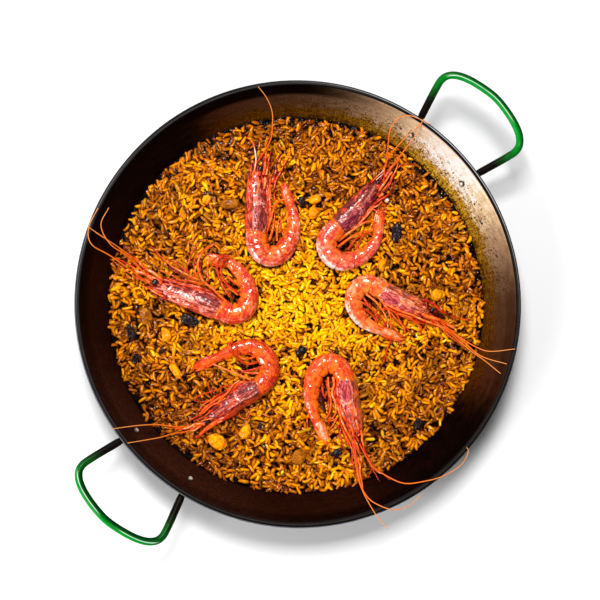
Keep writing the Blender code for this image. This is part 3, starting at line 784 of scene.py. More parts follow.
@dataclass(frozen=True)
class ShellFinish:
    """A cooked prawn's shell: streaked red and orange, pale pink and white in patches that are partly painted
    glare, with a maroon gill cover and painted shade beneath.
    """

    name: str
    red: Colour = (0.82, 0.045, 0.014)
    deep: Colour = (0.28, 0.007, 0.003)
    orange: Colour = (1.00, 0.170, 0.004)
    pink: Colour = (1.00, 0.23, 0.14)
    white: Colour = (1.00, 0.80, 0.72)
    maroon: Colour = (0.120, 0.008, 0.009)
    gill: Colour = (0.300, 0.034, 0.030)
    dorsal: Colour = (0.270, 0.040, 0.036)  # along the carapace's back
    shades: Ramp = ((0.42, (0.34, 0.28, 0.28)), (0.52, (1.0, 1.0, 1.0)))  # multiplies the carapace
    pallor_and_glare: float = 0.5  # how much of the bend is pale pink and white, partly painted glare
    darkness: float = 0.5  # how much of the carapace is maroon
    frost: float = 0.5  # how much of the carapace is pink and white

    def material(self) -> bpy.types.Material:
        """The shell's material.

        Returns:
            The material.
        """
        graph = Graph(self.name)
        place = graph.place()
        back, phase, head = graph.attribute("back"), graph.attribute("phase"), graph.attribute("head")
        lines = graph.vector(graph.attribute("run") * 0.20, graph.attribute("across"))
        blotch = graph.noise(place, 150, 3, 0.6)
        medium = graph.noise(place, 330, 3, 0.6, 0.8)
        speckle = graph.noise(place, 850, 3, 0.6)
        streak = graph.noise(lines, 420, 4, 0.6, 0.6)
        thread = graph.noise(lines, 1150, 2, 0.5, 0.3)
        tail = graph.blend((medium * 0.5 + streak * 0.5).step(0.40, 0.56), self.deep, self.red)
        inner = back * -0.07 + (blotch - 0.5) * 0.8
        tail = graph.blend((streak * 0.6 + medium * 0.4 + inner).step(0.43, 0.60), tail, self.orange)
        # pale pink and white patches: partly the shell's own colour, partly painted glare
        pale_and_glare = medium * 0.30 + streak * 0.40 + thread * 0.12 + blotch * 0.45 - 0.135
        pale_and_glare = pale_and_glare + back * 0.075 + phase * 0.05 + (self.pallor_and_glare - 0.5) * 0.30
        # painted glare: paler where the shell faces -X, towards the key light
        pale_and_glare = pale_and_glare + graph.attribute("lit").step(0.30, 0.95) * self.pallor_and_glare * 0.22
        tail = graph.blend(pale_and_glare.step(0.54, 0.66), tail, self.pink)
        tail = graph.blend(pale_and_glare.step(0.65, 0.73), tail, self.white)
        skin = streak * 0.52 + medium * 0.18 + thread * 0.30
        dark = skin - (self.darkness - 0.5) * 0.30
        front = graph.blend(dark.step(0.42, 0.56), self.maroon, self.red)
        front = graph.blend((dark + (blotch - 0.5) * 0.6).step(0.56, 0.64), front, self.orange)
        frosted = dark + back.hump(0.1, 0.4) * 0.05 + (self.frost - 0.5) * 0.2 + 0.008
        front = graph.blend(frosted.step(0.54, 0.62), front, self.pink)
        front = graph.blend(frosted.step(0.615, 0.665), front, self.white)
        front = graph.blend(back.step(0.35, 0.85) * (1.15 - pale_and_glare.step(0.50, 0.60)), front, self.dorsal)
        marks = 1 - (streak * 0.6 + thread * 0.4).step(0.44, 0.56)
        front = graph.blend(marks * graph.attribute("ahead").step(0.60, 0.95) * 0.85, front, self.maroon)
        colour = graph.blend(head, tail, front)
        gill = graph.blend((streak * 0.5 + thread * 0.5).step(0.34, 0.54), self.maroon, self.gill)
        gill = graph.blend((thread * 0.6 + streak * 0.4).step(0.54, 0.62) * 0.7, gill, self.pink)
        colour = graph.blend(graph.attribute("gill") * 0.94, colour, gill)
        shade = graph.ramp(streak * 0.55 + thread * 0.45, self.shades)
        colour = graph.blend(head * 0.75, colour, shade, "MULTIPLY")
        line = graph.attribute("rim") * (0.35 + medium).step(0.75, 0.92)
        colour = graph.blend(line * 0.8, colour, self.pink)
        colour = graph.blend(line * speckle.step(0.48, 0.58), colour, self.white)
        colour = graph.blend(graph.attribute("joint") * (0.5 + medium), colour, self.orange)
        colour = graph.blend(graph.attribute("seam") * (speckle * 0.9), colour, self.deep)
        colour = graph.blend(graph.attribute("ridge") * (0.70 + (speckle - 0.5) * 1.6), colour, self.pink)
        colour = graph.blend(graph.attribute("ridge") * speckle.step(0.52, 0.62) * 0.8, colour, self.white)
        # painted shade on the shell's underside
        colour = graph.blend(graph.attribute("under") * 0.9, colour, self.maroon)
        rough = 0.34 + (blotch - 0.5) * 0.25 + (speckle - 0.5) * 0.2
        normal = graph.bump(speckle * 0.25 + medium * 0.4 + streak * 0.35, 0.0014, 0.8)
        coat = medium.step(0.42, 0.56) * (1 - graph.attribute("gill") * 0.5) * (1 - head * 0.35)
        return graph.surface(
            Base_Color=colour, Roughness=rough, Normal=normal, Specular_IOR_Level=0.15, Coat_Weight=coat,
            Coat_Roughness=0.11, Coat_IOR=1.8,
        )


@dataclass(frozen=True)
class LimbFinish:
    """Legs, swimmerets and feelers, from maroon at tone 0 through red and orange to pink-white at tone 1."""

    stops: Ramp = (
        (0.08, (0.060, 0.003, 0.003)),
        (0.32, (0.520, 0.018, 0.008)),
        (0.56, (0.900, 0.095, 0.004)),
        (0.80, (1.000, 0.260, 0.055)),
        (1.00, (0.960, 0.740, 0.680)),
    )

    def material(self) -> bpy.types.Material:
        """The limbs' material.

        Returns:
            The material.
        """
        graph = Graph("prawn_limb")
        place = graph.place()
        change = graph.noise(place, 260, 4)
        fine = graph.noise(place, 900, 2)
        tone = graph.attribute("tone") + (change - 0.5) * 0.8 + (fine - 0.5) * 0.5
        colour = graph.ramp(tone, self.stops)
        return graph.surface(
            Base_Color=colour, Roughness=0.30 + (change - 0.5) * 0.25, Normal=graph.bump(fine, 0.0004, 0.6),
            Specular_IOR_Level=0.10, Coat_Weight=change.step(0.46, 0.58) * 0.6, Coat_Roughness=0.09,
        )


@dataclass(frozen=True)
class WhiskerFinish:
    """Whiskers: red at the root, orange and then straw-coloured to the tip."""

    stops: Ramp = ((0.0, (0.70, 0.050, 0.006)), (0.5, (0.92, 0.170, 0.008)), (1.0, (0.86, 0.340, 0.080)))

    def material(self) -> bpy.types.Material:
        """The whiskers' material.

        Returns:
            The material.
        """
        graph = Graph("prawn_whisker")
        along = graph.attribute("along") + (graph.noise(graph.place(), 90, 2) - 0.5) * 0.3
        colour = graph.ramp(along, self.stops)
        return graph.surface(Base_Color=colour, Roughness=0.3 + along * 0.1, Specular_IOR_Level=0.12)


@dataclass(frozen=True)
class EyeFinish:
    """A black, wet eye with a bluish bloom."""

    black: Colour = (0.004, 0.004, 0.006)
    bloom: Colour = (0.035, 0.040, 0.060)

    def material(self) -> bpy.types.Material:
        """The eyes' material.

        Returns:
            The material.
        """
        graph = Graph("prawn_eye")
        cloud = graph.noise(graph.place(), 500, 2)
        colour = graph.blend(cloud.step(0.5, 0.8), self.black, self.bloom)
        return graph.surface(Base_Color=colour, Roughness=0.10 + cloud * 0.08, Coat_Weight=0.5)


@dataclass(frozen=True)
class MorselFinish:
    """Wet pieces of squid and scraps: two colours in blotches, with a wrinkled skin."""

    name: str
    light: Colour
    dark: Colour
    streaks: float  # strength of the fine third colour
    roughness: float = 0.28
    fleck: Colour = (0.20, 0.24, 0.32)

    def material(self) -> bpy.types.Material:
        """The morsel's material.

        Returns:
            The material.
        """
        graph = Graph(self.name)
        place = graph.place()
        blotch = graph.noise(place, 190, 4, 0.6, 0.6)
        skin = graph.noise(place, 600, 3)
        colour = graph.blend((blotch + (skin - 0.5) * 0.7).step(0.38, 0.66), self.light, self.dark)
        colour = graph.blend(skin.step(0.58, 0.66) * self.streaks, colour, self.fleck)
        normal = graph.bump(blotch * 0.6 + skin * 0.4, 0.0012, 0.7)
        rough = self.roughness + (skin - 0.5) * 0.25
        return graph.surface(
            Base_Color=colour, Roughness=rough, Normal=normal, Specular_IOR_Level=0.04,
            Coat_Weight=(blotch * 0.5 + skin * 0.5).step(0.50, 0.60) * 0.8, Coat_Roughness=0.10,
        )


# The pan


@dataclass
class Pan:
    """The steel pan: a turned sheet with a rounded corner, a sloping wall and a rolled bead."""

    rim: float = 0.2008  # outer radius of the bead
    height: float = 0.045
    sheet: float = 0.0015  # thickness
    bead: float = 0.0036  # radius of the rolled edge's section
    slope: float = math.radians(53.5)  # of the wall, from level
    corner: float = 0.020  # radius of the floor's rounded corner
    hub: float = 0.004  # radius of the innermost ring of facets
    steps: int = 288
    dent: float = 0.00008  # depth of the slight waves in the sheet

    def wall_radius(self, height: Array | float, inset: float = 0.0) -> Array | float:
        """Radius of the wall's inner face.

        Args:
            height: height on the wall.
            inset: how far square to the wall the answer lies inside it.

        Returns:
            The radius.
        """
        top_radius = self.rim - self.bead - self.bead * math.sin(self.slope)
        top_height = self.height - self.bead + self.bead * math.cos(self.slope)
        return top_radius - (top_height - height) / math.tan(self.slope) - inset / math.sin(self.slope)

    def corner_centre(self) -> tuple[float, float]:
        """Radius and height of the middle of the rounded corner's arc."""
        foot = self.wall_radius(self.sheet)
        return foot - self.corner * math.tan(self.slope / 2), self.sheet + self.corner

    def profile(self) -> tuple[Array, Array]:
        """The pan's outline in the plane of radius and height: floor, corner, wall and rolled bead.

        Returns:
            The closed line, and 1 for each of its points on the inner face and 0 for the others.
        """
        centre = self.corner_centre()
        down = -math.pi / 2
        floor = np.linspace(self.hub, centre[0], 18)[:, None]
        outer = arc(centre, self.corner + self.sheet, down, down + self.slope, 14)
        under = math.acos((self.bead - self.sheet) / self.bead)
        top = math.pi / 2 + self.slope
        bead = arc((self.rim - self.bead, self.height - self.bead), self.bead, top + under - TURN, top, 30)
        inner = arc(centre, self.corner, down + self.slope, down, 14)
        wall_out = np.linspace(outer[-1], bead[0], 12)[1:-1]
        wall_in = np.linspace(bead[-1], inner[0], 24)[1:-1]
        below = np.hstack([floor[:-1], 0 * floor[:-1]])
        above = np.hstack([floor[:-1], 0 * floor[:-1] + self.sheet])[::-1]
        line = np.vstack([below, outer, wall_out, bead, wall_in, inner, above])
        inside = np.zeros(len(line))
        inside[len(below) + len(outer) + len(wall_out) + len(bead) - 2 :] = 1.0
        return line, inside

    def build(self) -> list[Piece]:
        """Makes the pan, with slight waves in its sheet.

        Returns:
            The piece.
        """
        line, inside = self.profile()
        rings = lathe(line, self.steps)
        dents = ripple(rings * np.array([1, 1, 0.4]), 0.11, 5)[..., None] * LEVEL * unit(rings)
        body = tubes(rings + dents * self.dent, {"inside": inside[None, :, None]})
        return [add_piece("pan_sheet", body, PanFinish().material(), "pan_steel", "pan")]


@dataclass
class Fittings:
    """The two loop handles with their flattened tabs, and the four rivets that hold them."""

    pan: Pan
    bearings: tuple[float, float] = (0.0, math.radians(181.6))
    rise: float = math.radians(15.0)  # of the rods, outwards
    half: tuple[tuple[float, float], ...] = (  # half a rod's route: out from the axis, and aside
        (0.1896, 0.0333), (0.2040, 0.0381), (0.2270, 0.0452), (0.2365, 0.0468),
        (0.2435, 0.0437), (0.2495, 0.0350), (0.2540, 0.0200),
    )
    reach: float = 0.2565  # of the route's middle
    start_height: float = 0.0343
    rod: float = 0.0035  # radius
    rod_start: float = 0.0020  # radius where it leaves its tabs
    taper: float = 0.014  # length over which it grows from one to the other
    rivet_bearing: float = math.radians(10.0)  # to each side of the handle
    rivet_height: float = 0.0320
    head: float = 0.0030  # radius
    head_height: float = 0.0018
    shank: float = 0.0019  # radius
    tail: float = 0.0030  # radius
    tail_height: float = 0.0016
    tab_size: tuple[float, float, float] = (0.015, 0.0165, 0.0025)  # across, up the wall and thick
    tab_middle: float = -0.00075  # up the wall from the rivet
    gap: float = 0.0003  # between parts that touch
    wear: tuple[float, float] = (0.30, 0.05)  # where round the rod each handle's painted highlight line runs
    facets: int = 54  # of the solid pan, whose flats the tabs clear

    def tab_lift(self) -> float:
        """How far the tabs lie out from the wall's inner face."""
        sag = self.pan.wall_radius(self.rivet_height) * (1 - math.cos(math.pi / self.facets))
        return self.pan.sheet + sag + self.gap

    def rivet_axes(self, bearing: float) -> tuple[Array, Array]:
        """The place and the directions of a rivet.

        Args:
            bearing: its angle from +X, in radians.

        Returns:
            The point on the wall's inner face, and rows that run round the pan, up the wall and out.
        """
        cosine, sine = math.cos(bearing), math.sin(bearing)
        outward = np.array([cosine, sine, 0.0])
        across = np.array([-sine, cosine, 0.0])
        slope = self.pan.slope
        through = outward * math.sin(slope) - UP * math.cos(slope)
        upward = outward * math.cos(slope) + UP * math.sin(slope)
        flat = self.pan.wall_radius(self.rivet_height) * math.cos(math.pi / self.facets)
        return outward * flat + UP * self.rivet_height, np.stack([across, upward, through])

    def rod_patch(self, side: float, wear: float) -> Patch:
        """One handle's rod, a round bar on a smooth curve through its knots, rising outwards.

        Args:
            side: the handle's bearing.
            wear: how lit the painted highlight line is, from -1 to 1.

        Returns:
            The rod, with its share of the way out, how far it faces -X for its painted light and shade, and
            the painted highlight line's place.
        """
        plan = np.array([*self.half, (self.reach, 0.0), *((a, -b) for a, b in reversed(self.half))])
        lift = self.start_height + (plan[:, 0] - self.half[0][0]) * math.tan(self.rise)
        path = curve_through(np.column_stack([plan, lift]), 150)
        leg = np.clip((path[:, 0] - self.half[0][0]) / (self.half[3][0] - self.half[0][0]), 0, 1.2)
        gone = np.linalg.norm(path[:, :2] - path[0, :2], axis=1)
        left = np.linalg.norm(path[:, :2] - path[-1, :2], axis=1)
        full = smooth(np.minimum(gone, left), 0.0, self.taper)
        radius = self.rod_start + (self.rod - self.rod_start) * full
        cosine, sine = math.cos(side), math.sin(side)
        path = path @ np.array([[cosine, sine, 0], [-sine, cosine, 0], [0, 0, 1.0]])
        rings = sweep(path, radius, radius, 20)
        lit = (path[None, :, None, 0] - rings[..., 0]) / radius[:, None]
        return tubes(rings, {"leg": leg[None, :, None], "lit": lit, "wear": np.full((1, 1, 1), wear)})

    def tab_patch(self, bearing: float) -> Patch:
        """A tab: a flat pad whose outline and edge are squared circles, cos and sin to the power 0.5.

        Args:
            bearing: its rivet's angle from +X, in radians.

        Returns:
            The pad, with the rod's named values at 0.
        """
        centre, axes = self.rivet_axes(bearing)
        wide, long, thick = (size / 2 for size in self.tab_size)
        cosine, sine = around(40)
        outline = np.stack([
            np.sign(cosine) * np.abs(cosine) ** 0.5 * wide, np.sign(sine) * np.abs(sine) ** 0.5 * long
        ])
        turn = np.linspace(-math.pi / 2, math.pi / 2, 9)[1:-1]
        shrink = np.cos(turn) ** 0.25
        rise = np.sign(np.sin(turn)) * np.abs(np.sin(turn)) ** 0.5 * thick
        local = np.zeros((len(turn), 40, 3))
        local[..., :2] = outline.T[None] * shrink[:, None, None]
        local[..., 1] += self.tab_middle
        local[..., 2] = rise[:, None] + self.tab_lift() + thick
        rings = centre + local @ axes
        return tubes(rings[None], {name: np.zeros((1, 1, 1)) for name in ("leg", "lit", "wear")})

    def rivet_patch(self, bearing: float) -> Patch:
        """A rivet: a domed head inside the wall, a shank and a flatter tail on the tab.

        Args:
            bearing: its angle from +X, in radians.

        Returns:
            The rivet, with its radius as a share of the head's.
        """
        centre, axes = self.rivet_axes(bearing)
        tail_at = self.tab_lift() + self.tab_size[2] + self.gap
        bow = np.linspace(0.06, 1, 9) * math.pi / 2
        back = bow[::-1]
        head = np.stack([self.head * np.sin(bow), -self.gap - self.head_height * np.cos(bow)], 1)
        tail = np.stack([self.tail * np.sin(back), tail_at + self.tail_height * np.cos(back)], 1)
        line = np.vstack([head, [[self.shank, -self.gap], [self.shank, tail_at]], tail])
        rings = lathe(line, 28) @ axes + centre
        return tubes(rings, {"edge": (line[:, 0] / self.head)[None, :, None]})

    def build(self) -> list[Piece]:
        """Makes the handles and rivets.

        Returns:
            The pieces.
        """
        coating, steel = CoatingFinish().material(), RivetFinish().material()
        pieces = []
        number = 0
        for count, (side, wear) in enumerate(zip(self.bearings, self.wear), 1):
            ends = [side - self.rivet_bearing, side + self.rivet_bearing]
            loop = together([self.rod_patch(side, wear)] + [self.tab_patch(end) for end in ends])
            node = f"handle_{count}"
            pieces.append(add_piece(f"loop_{node}", loop, coating, "green_coating", node))
            for end in ends:
                number += 1
                pin = self.rivet_patch(end)
                pieces.append(add_piece(f"rivet_pin_{number}", pin, steel, "rivet_steel", f"rivet_{number}"))
        return pieces


# Prawns


class Tone(float, Enum):
    """Colour of a limb, from near black through red and orange to pink-white."""

    BLACK = -0.2
    DARK = 0.10
    RED = 0.34
    ORANGE = 0.57
    PALE = 0.69
    # pink-white, which several limbs carry as painted highlights
    WHITE = 0.95

    @classmethod
    def spelt(cls, letters: str) -> tuple[float, ...]:
        """The values of the tones that start with these letters."""
        return tuple(next(tone.value for tone in cls if tone.name[0] == letter) for letter in letters)


@dataclass(frozen=True)
class Limb:
    """A limb listed one by one: its route in pixels of the photograph, and how it stands and looks."""

    route: tuple[float, ...]  # x and y in turn
    heights: tuple[float, ...]  # millimetres above the food's resting height, spread over the route
    width: float = 1.4  # millimetres at the root
    tones: str = "O"  # first letters of its tones, spread over it
    tip: float = 0.45  # width at the tip as a share of the root's
    flat: float = 1.0

    def patch(self, rest: float) -> Patch:
        """The limb as a strand that shows at its pixels.

        Args:
            rest: height of the rice's surface.

        Returns:
            The strand.
        """
        pixels = np.array(self.route, float).reshape(-1, 2)
        share = np.linspace(0, 1, len(pixels))
        lift = np.interp(share, np.linspace(0, 1, len(self.heights)), self.heights) * MM
        widths = (self.width * MM, self.width * MM * (1 + self.tip) / 2, self.width * MM * self.tip)
        return strand(VIEW.level(pixels, rest + lift), widths, Tone.spelt(self.tones), self.flat)


@dataclass
class Prawn:
    """A whole cooked prawn on its side, curled towards its head. Plan places are in metres."""

    number: int
    rear: tuple[float, float]  # joint at the rear of the carapace
    heading: float  # degrees, from there to the head
    carapace: float  # length, from its rear to the eye
    abdomen: float  # length, with the tail fan
    girth: float  # thickness, as a share of the usual one
    bends: tuple[float, ...]  # degrees at the joints from the head to the tail
    whiskers: tuple[tuple[tuple[float, float], ...], ...]  # plan points of each
    limbs: tuple[Limb, ...]
    finish: ShellFinish
    eye: tuple[float, float, float]  # its pixel in the photograph, and millimetres above the rice
    eye_radius: float
    tail_tone: float = 0.50
    chin: float = 0.45  # how far the head bulges towards the belly
    broad: bool = False  # with a head that stays deep to its front
    hollow: float = 0.008  # radius of the place inside the bend that has no loose grains
    rest: float = 0.0142  # height of the rice's surface
    rings: int = 420
    sides: int = 44
    front: float = 1.14  # share of the carapace's length at which the head ends
    carapace_rings: tuple[tuple[float, float, float], ...] = (  # share of its length, depth, thickness
        (1.14, 0.0050, 0.0050), (1.00, 0.0100, 0.0085), (0.78, 0.0145, 0.0115),
        (0.45, 0.0185, 0.0135), (0.12, 0.0205, 0.0145), (0.01, 0.0190, 0.0138),
    )
    broader: tuple[float, float, float] = (0.0040, 0.0062, 0.0045)  # added to the first depths if broad
    segments: tuple[tuple[float, float, float], ...] = (  # share of the abdomen, depth, thickness
        (0.108, 0.0180, 0.0135), (0.118, 0.0186, 0.0138), (0.127, 0.0180, 0.0132),
        (0.118, 0.0165, 0.0122), (0.108, 0.0145, 0.0108), (0.176, 0.0120, 0.0092),
    )
    fan_rings: tuple[tuple[float, float, float], ...] = (  # share of the fan, depth, thickness
        (0.10, 0.0085, 0.0066), (0.35, 0.0080, 0.0050), (0.70, 0.0050, 0.0034), (0.95, 0.0018, 0.0020),
    )
    fan_blades: tuple[tuple[float, float, float, float], ...] = (  # splay, height, share of length, width
        (-7.0, 2.2, 0.96, 5.4), (8.0, 2.0, 0.98, 5.4), (-3.0, 3.6, 1.00, 5.6),
        (5.0, 3.9, 0.94, 5.4), (0.5, 5.4, 0.80, 4.4),
    )
    ridges: tuple[tuple[float, tuple[tuple[float, float], ...]], ...] = (  # strength and corners
        (1.0, ((-0.02, -0.20), (0.22, -0.30), (0.43, -0.10), (0.72, -0.12))),
        (1.0, ((0.43, -0.10), (0.50, 0.25), (0.47, 0.75))),
        (0.7, ((0.52, 0.30), (0.75, 0.20), (0.98, 0.05))),
    )
    ridge_width: float = 0.60  # millimetres
    deep: float = 20.0  # millimetres, the carapace's usual depth
    slant: float = 0.0016  # how far back the segments' rear edges run from belly to back
    tuck: tuple[float, float] = (0.075, 0.02)  # in at a segment's front, and out at its rear
    plate: float = 0.15  # how far a side plate swells the belly edge
    cheek: float = 0.22  # how far the carapace bulges there behind the chin
    gill_cover: tuple[tuple[float, float], ...] = ((0.22, 0.25), (0.34, 0.60))  # middle, half: along, across
    gill_strip: tuple[tuple[float, float], ...] = ((0.62, 0.24), (0.58, 0.30))  # the same, ahead of it
    relief: tuple[float, float, float] = (0.045, 0.05, 0.03)  # of the cover, its groove and the ridges
    wrinkle: float = 0.00022  # depth of the shell's small waves
    whisker_low: float = 0.021
    whisker_high: float = 0.0475
    ramp: tuple[float, float] = (0.148, 0.196)  # radii between which the whiskers rise
    whisker_width: float = 0.0011

    def __post_init__(self) -> None:
        """Works out the centre line: a smooth curve past the joints, by distance behind the rear one."""
        self.head = self._way(self.heading)
        self.belly = np.array([self.head[1], -self.head[0]])
        self.base = np.array(self.rear)
        corners = [self.base + self.head * self.carapace * self.front, self.base]
        heading = self.heading + 180
        shares = [share for share, _, _ in self.segments]
        shares.append(1 - sum(shares))
        for share, bend in zip(shares, self.bends):
            heading += bend
            corners.append(corners[-1] + self._way(heading) * share * self.abdomen)
        line = np.array(corners)
        length = np.hypot(*np.diff(line, axis=0).T).sum()
        for _ in range(4):
            near, far = line[:-1] * 0.75 + line[1:] * 0.25, line[:-1] * 0.25 + line[1:] * 0.75
            line = np.vstack([line[:1], np.stack([near, far], 1).reshape(-1, 2), line[-1:]])
        run = np.concatenate([[0], np.cumsum(np.hypot(*np.diff(line, axis=0).T))])
        self.line = line
        self.run = run * length / run[-1] - self.carapace * self.front

    @staticmethod
    def _way(degrees: float) -> Array:
        """Plan direction at an angle from +X."""
        return np.array([math.cos(math.radians(degrees)), math.sin(math.radians(degrees))])

    def at(self, distance: Array) -> Array:
        """(n, 2) points on the centre line."""
        return np.stack([np.interp(distance, self.run, self.line[:, i]) for i in (0, 1)], -1)

    def side(self, distance: Array) -> Array:
        """(n, 2) directions towards the belly."""
        along = unit(self.at(distance + 0.0025) - self.at(distance - 0.0025))
        return np.stack([-along[..., 1], along[..., 0]], -1)

    def local(self, points: Array) -> Array:
        """Points in the prawn's own frame, moved to the row's.

        Args:
            points: millimetres forward of the rear joint, towards the belly and above the rice.

        Returns:
            (n, 3) points.
        """
        points = np.asarray(points, float) * MM
        plan = self.base + points[:, :1] * self.head + points[:, 1:2] * self.belly
        return np.column_stack([plan, self.rest + points[:, 2]])

    def covers(self, points: Array) -> Array:
        """How far plan points stand outside the body's outline and the hollow inside its bend.

        Args:
            points: (n, 2) places.

        Returns:
            The distances, negative within.
        """
        spots = np.linspace(self.run[0], self.run[-1], 70)
        half = np.interp(spots, *self._stations()[:2]) / 2
        line = self.at(spots)
        away = np.hypot(points[:, None, 0] - line[:, 0], points[:, None, 1] - line[:, 1]) - half
        inner = self.at(np.linspace(-0.1, 0.62, 12) * self.abdomen).mean(0)
        return np.minimum(away.min(1), np.hypot(*(points - inner).T) - self.hollow)

    def _stations(self) -> tuple[Array, Array, Array]:
        """The body's plain outline from head to tail.

        Returns:
            Distances behind the rear joint, depths and thicknesses.
        """
        rows = [(-share * self.carapace, depth, thick) for share, depth, thick in self.carapace_rings]
        if self.broad:
            rows[:3] = [(x, depth + more, thick) for (x, depth, thick), more in zip(rows, self.broader)]
        start = 0.0
        for share, depth, thick in self.segments:
            rows.append((start + share * self.abdomen / 2, depth, thick))
            start += share * self.abdomen
        fan = self.abdomen - start
        rows += [(start + share * fan, depth, thick) for share, depth, thick in self.fan_rings]
        table = np.array(rows)
        return table[:, 0], table[:, 1] * self.girth, table[:, 2] * self.girth

    def shell(self) -> Patch:
        """The shell, a loft of egg-shaped rings along the centre line.

        Each ring's half-depth and half-thickness follow the plain outline. Behind the carapace they
        are multiplied by a saw-tooth of the place within the segment: tucked in at its front, full in
        its middle and flared at its rear edge, which runs aslant from back to belly. Side plates swell
        the belly edge in lobes. On the carapace the gill cover bulges inside a groove, with ridges.

        Returns:
            The skin, with masks and places for its finish.
        """
        distances, depths, thicks = self._stations()
        s = np.linspace(self.run[0] + 0.0003, distances[-1], self.rings)
        cosine, sine = around(self.sides)
        depth = np.interp(s, distances, depths)[:, None]
        thick = np.interp(s, distances, thicks)[:, None]
        kernel = np.hanning(13) / np.hanning(13).sum()
        depth = np.convolve(np.pad(depth[:, 0], 6, "edge"), kernel, "valid")[:, None]
        thick = np.convolve(np.pad(thick[:, 0], 6, "edge"), kernel, "valid")[:, None]
        shift = s[:, None] - self.slant * cosine[None, :]
        edges = np.concatenate([[0], np.cumsum([share for share, _, _ in self.segments])]) * self.abdomen
        index = np.clip(np.searchsorted(edges, shift, side="right") - 1, 0, len(edges) - 2)
        phase = (shift - edges[index]) / np.diff(edges)[index]
        tail_part = smooth(shift, -0.0006, 0.0006)
        fan_part = smooth(shift, edges[-1] - 0.0005, edges[-1] + 0.0005)
        tuck = 1 - self.tuck[0] * (1 - smooth(phase, 0.0, 0.22)) + self.tuck[1] * smooth(phase, 0.70, 1.0)
        scale = 1 + (tuck - 1) * tail_part * (1 - fan_part)
        bulge = self.plate * np.sin(np.pi * np.clip(phase, 0, 1)) ** 0.7
        lobes = 1 + bulge * tail_part * (1 - fan_part) * (index < 5)
        ahead = -shift / self.carapace
        chin = 1 + self.cheek * smooth(ahead, 0.02, 0.30) + self.chin * smooth(ahead, 0.60, 1.0)
        lobe = np.where(cosine[None, :] > 0, lobes * chin, 1.0)
        face = s[:, None] * 0 + cosine[None, :]
        across = face * depth / 2 / MM
        forward = ahead * self.carapace / MM
        upper = smooth(sine[None, :], -0.35, 0.1) * (1 - tail_part)
        (a, long), (b, wide) = self.gill_cover
        cover = 1 - ((ahead - a) / long) ** 2 - ((face - b) / wide) ** 2
        (a, long), (b, wide) = self.gill_strip
        strip = 1 - ((ahead - a) / long) ** 2 - ((face - b + (ahead - a) * 0.5) / wide) ** 2
        gill = np.maximum(smooth(cover, 0.02, 0.20), smooth(strip, 0.05, 0.35) * 0.85) * upper
        groove = np.exp(-((cover - 0.03) / 0.08) ** 2) * upper
        size = self.carapace / MM
        deep = self.deep * self.girth / 2
        ridge = np.zeros_like(across)
        for strength, line in self.ridges:
            ridge = np.maximum(ridge, strength * self._ridge(forward, across, line, size, deep))
        ridge *= upper
        raised, sunk, line = self.relief
        swell = 1 + raised * smooth(cover, 0.0, 0.5) * upper - sunk * groove + line * ridge
        half_depth = depth / 2 * scale * lobe
        half_thick = thick / 2 * scale * swell
        centre, belly = self.at(s), self.side(s)
        rings = np.empty((self.rings, self.sides, 3))
        rings[..., :2] = centre[:, None] + belly[:, None] * (cosine[None, :] * half_depth)[..., None]
        rings[..., 2] = self.rest + thick / 2 + sine[None, :] * half_thick
        waves = ripple(rings, 0.006, 11 + self.number) * self.wrinkle
        rings[..., 2] += waves * smooth(sine, 0.0, 0.5)[None, :]
        joint = np.exp(-((shift - 0.0008) / 0.0012) ** 2)
        seam = np.exp(-((phase - 0.03) / 0.05) ** 2) * tail_part * (1 - fan_part)
        # the shell's underside, which its finish darkens as painted shade
        low = (1 - smooth(sine, -0.55, 0.15))[None, :] + 0 * face
        values = {
            "head": (1 - tail_part) + 0 * face,
            "back": -face,
            "phase": np.clip(phase, 0, 1) * tail_part * (1 - fan_part),
            "run": s[:, None] + 0 * face,
            "ahead": ahead,
            "across": face * depth / 2,
            "gill": gill,
            "joint": joint + 0 * face,
            "seam": seam,
            "ridge": ridge,
            "lit": -belly[:, None, 0] * face,
            "rim": np.exp(-(((cover - 0.06) / 0.07) ** 2)) * upper,
            "under": low,
        }
        return tubes(rings[None], {name: value[None] for name, value in values.items()})

    def _ridge(
        self, forward: Array, across: Array, line: tuple[tuple[float, float], ...], size: float, deep: float
    ) -> Array:
        """Closeness to a bent line on the carapace: exp(-(d/w)^2), with d the distance to it.

        Args:
            forward: millimetres ahead of the rear joint.
            across: millimetres towards the belly.
            line: corners, as shares of the carapace's length and half-depth.
            size: the carapace's length in millimetres.
            deep: its half-depth in millimetres.

        Returns:
            1 on the line, falling to 0.
        """
        best = np.full(forward.shape, 1e9)
        for (a, b), (c, d) in zip(line, line[1:]):
            start, end = np.array([a * size, b * deep]), np.array([c * size, d * deep])
            way = end - start
            t = np.clip(((forward - start[0]) * way[0] + (across - start[1]) * way[1]) / (way @ way), 0, 1)
            best = np.minimum(best, np.hypot(forward - start[0] - t * way[0], across - start[1] - t * way[1]))
        return np.exp(-((best / self.ridge_width) ** 2))

    @staticmethod
    def blade(root: Array, tip: Array, width: float, thick: float, tone: float, droop: float) -> Patch:
        """A leaf-shaped plate, whose width follows sin(pi t^0.75)^0.8 and which bows by the droop.

        Args:
            root: its first point.
            tip: its last point.
            width: across its middle.
            thick: thickness at the root.
            tone: its colour value.
            droop: how far its middle hangs below the straight line.

        Returns:
            The plate, with its tone and its share of length.
        """
        t = np.linspace(0, 1, 26)
        path = root + (tip - root) * t[:, None] - UP * (droop * 4 * t * (1 - t))[:, None]
        half = width / 2 * (0.30 * (1 - t) + np.sin(np.pi * np.clip(t, 0.02, 0.99) ** 0.75) ** 0.8)
        rings = sweep(path, half, thick / 2 * (1 - 0.6 * t), 14)
        return tubes(rings, {"tone": np.full((1, 1, 1), tone), "along": t[None, :, None]})

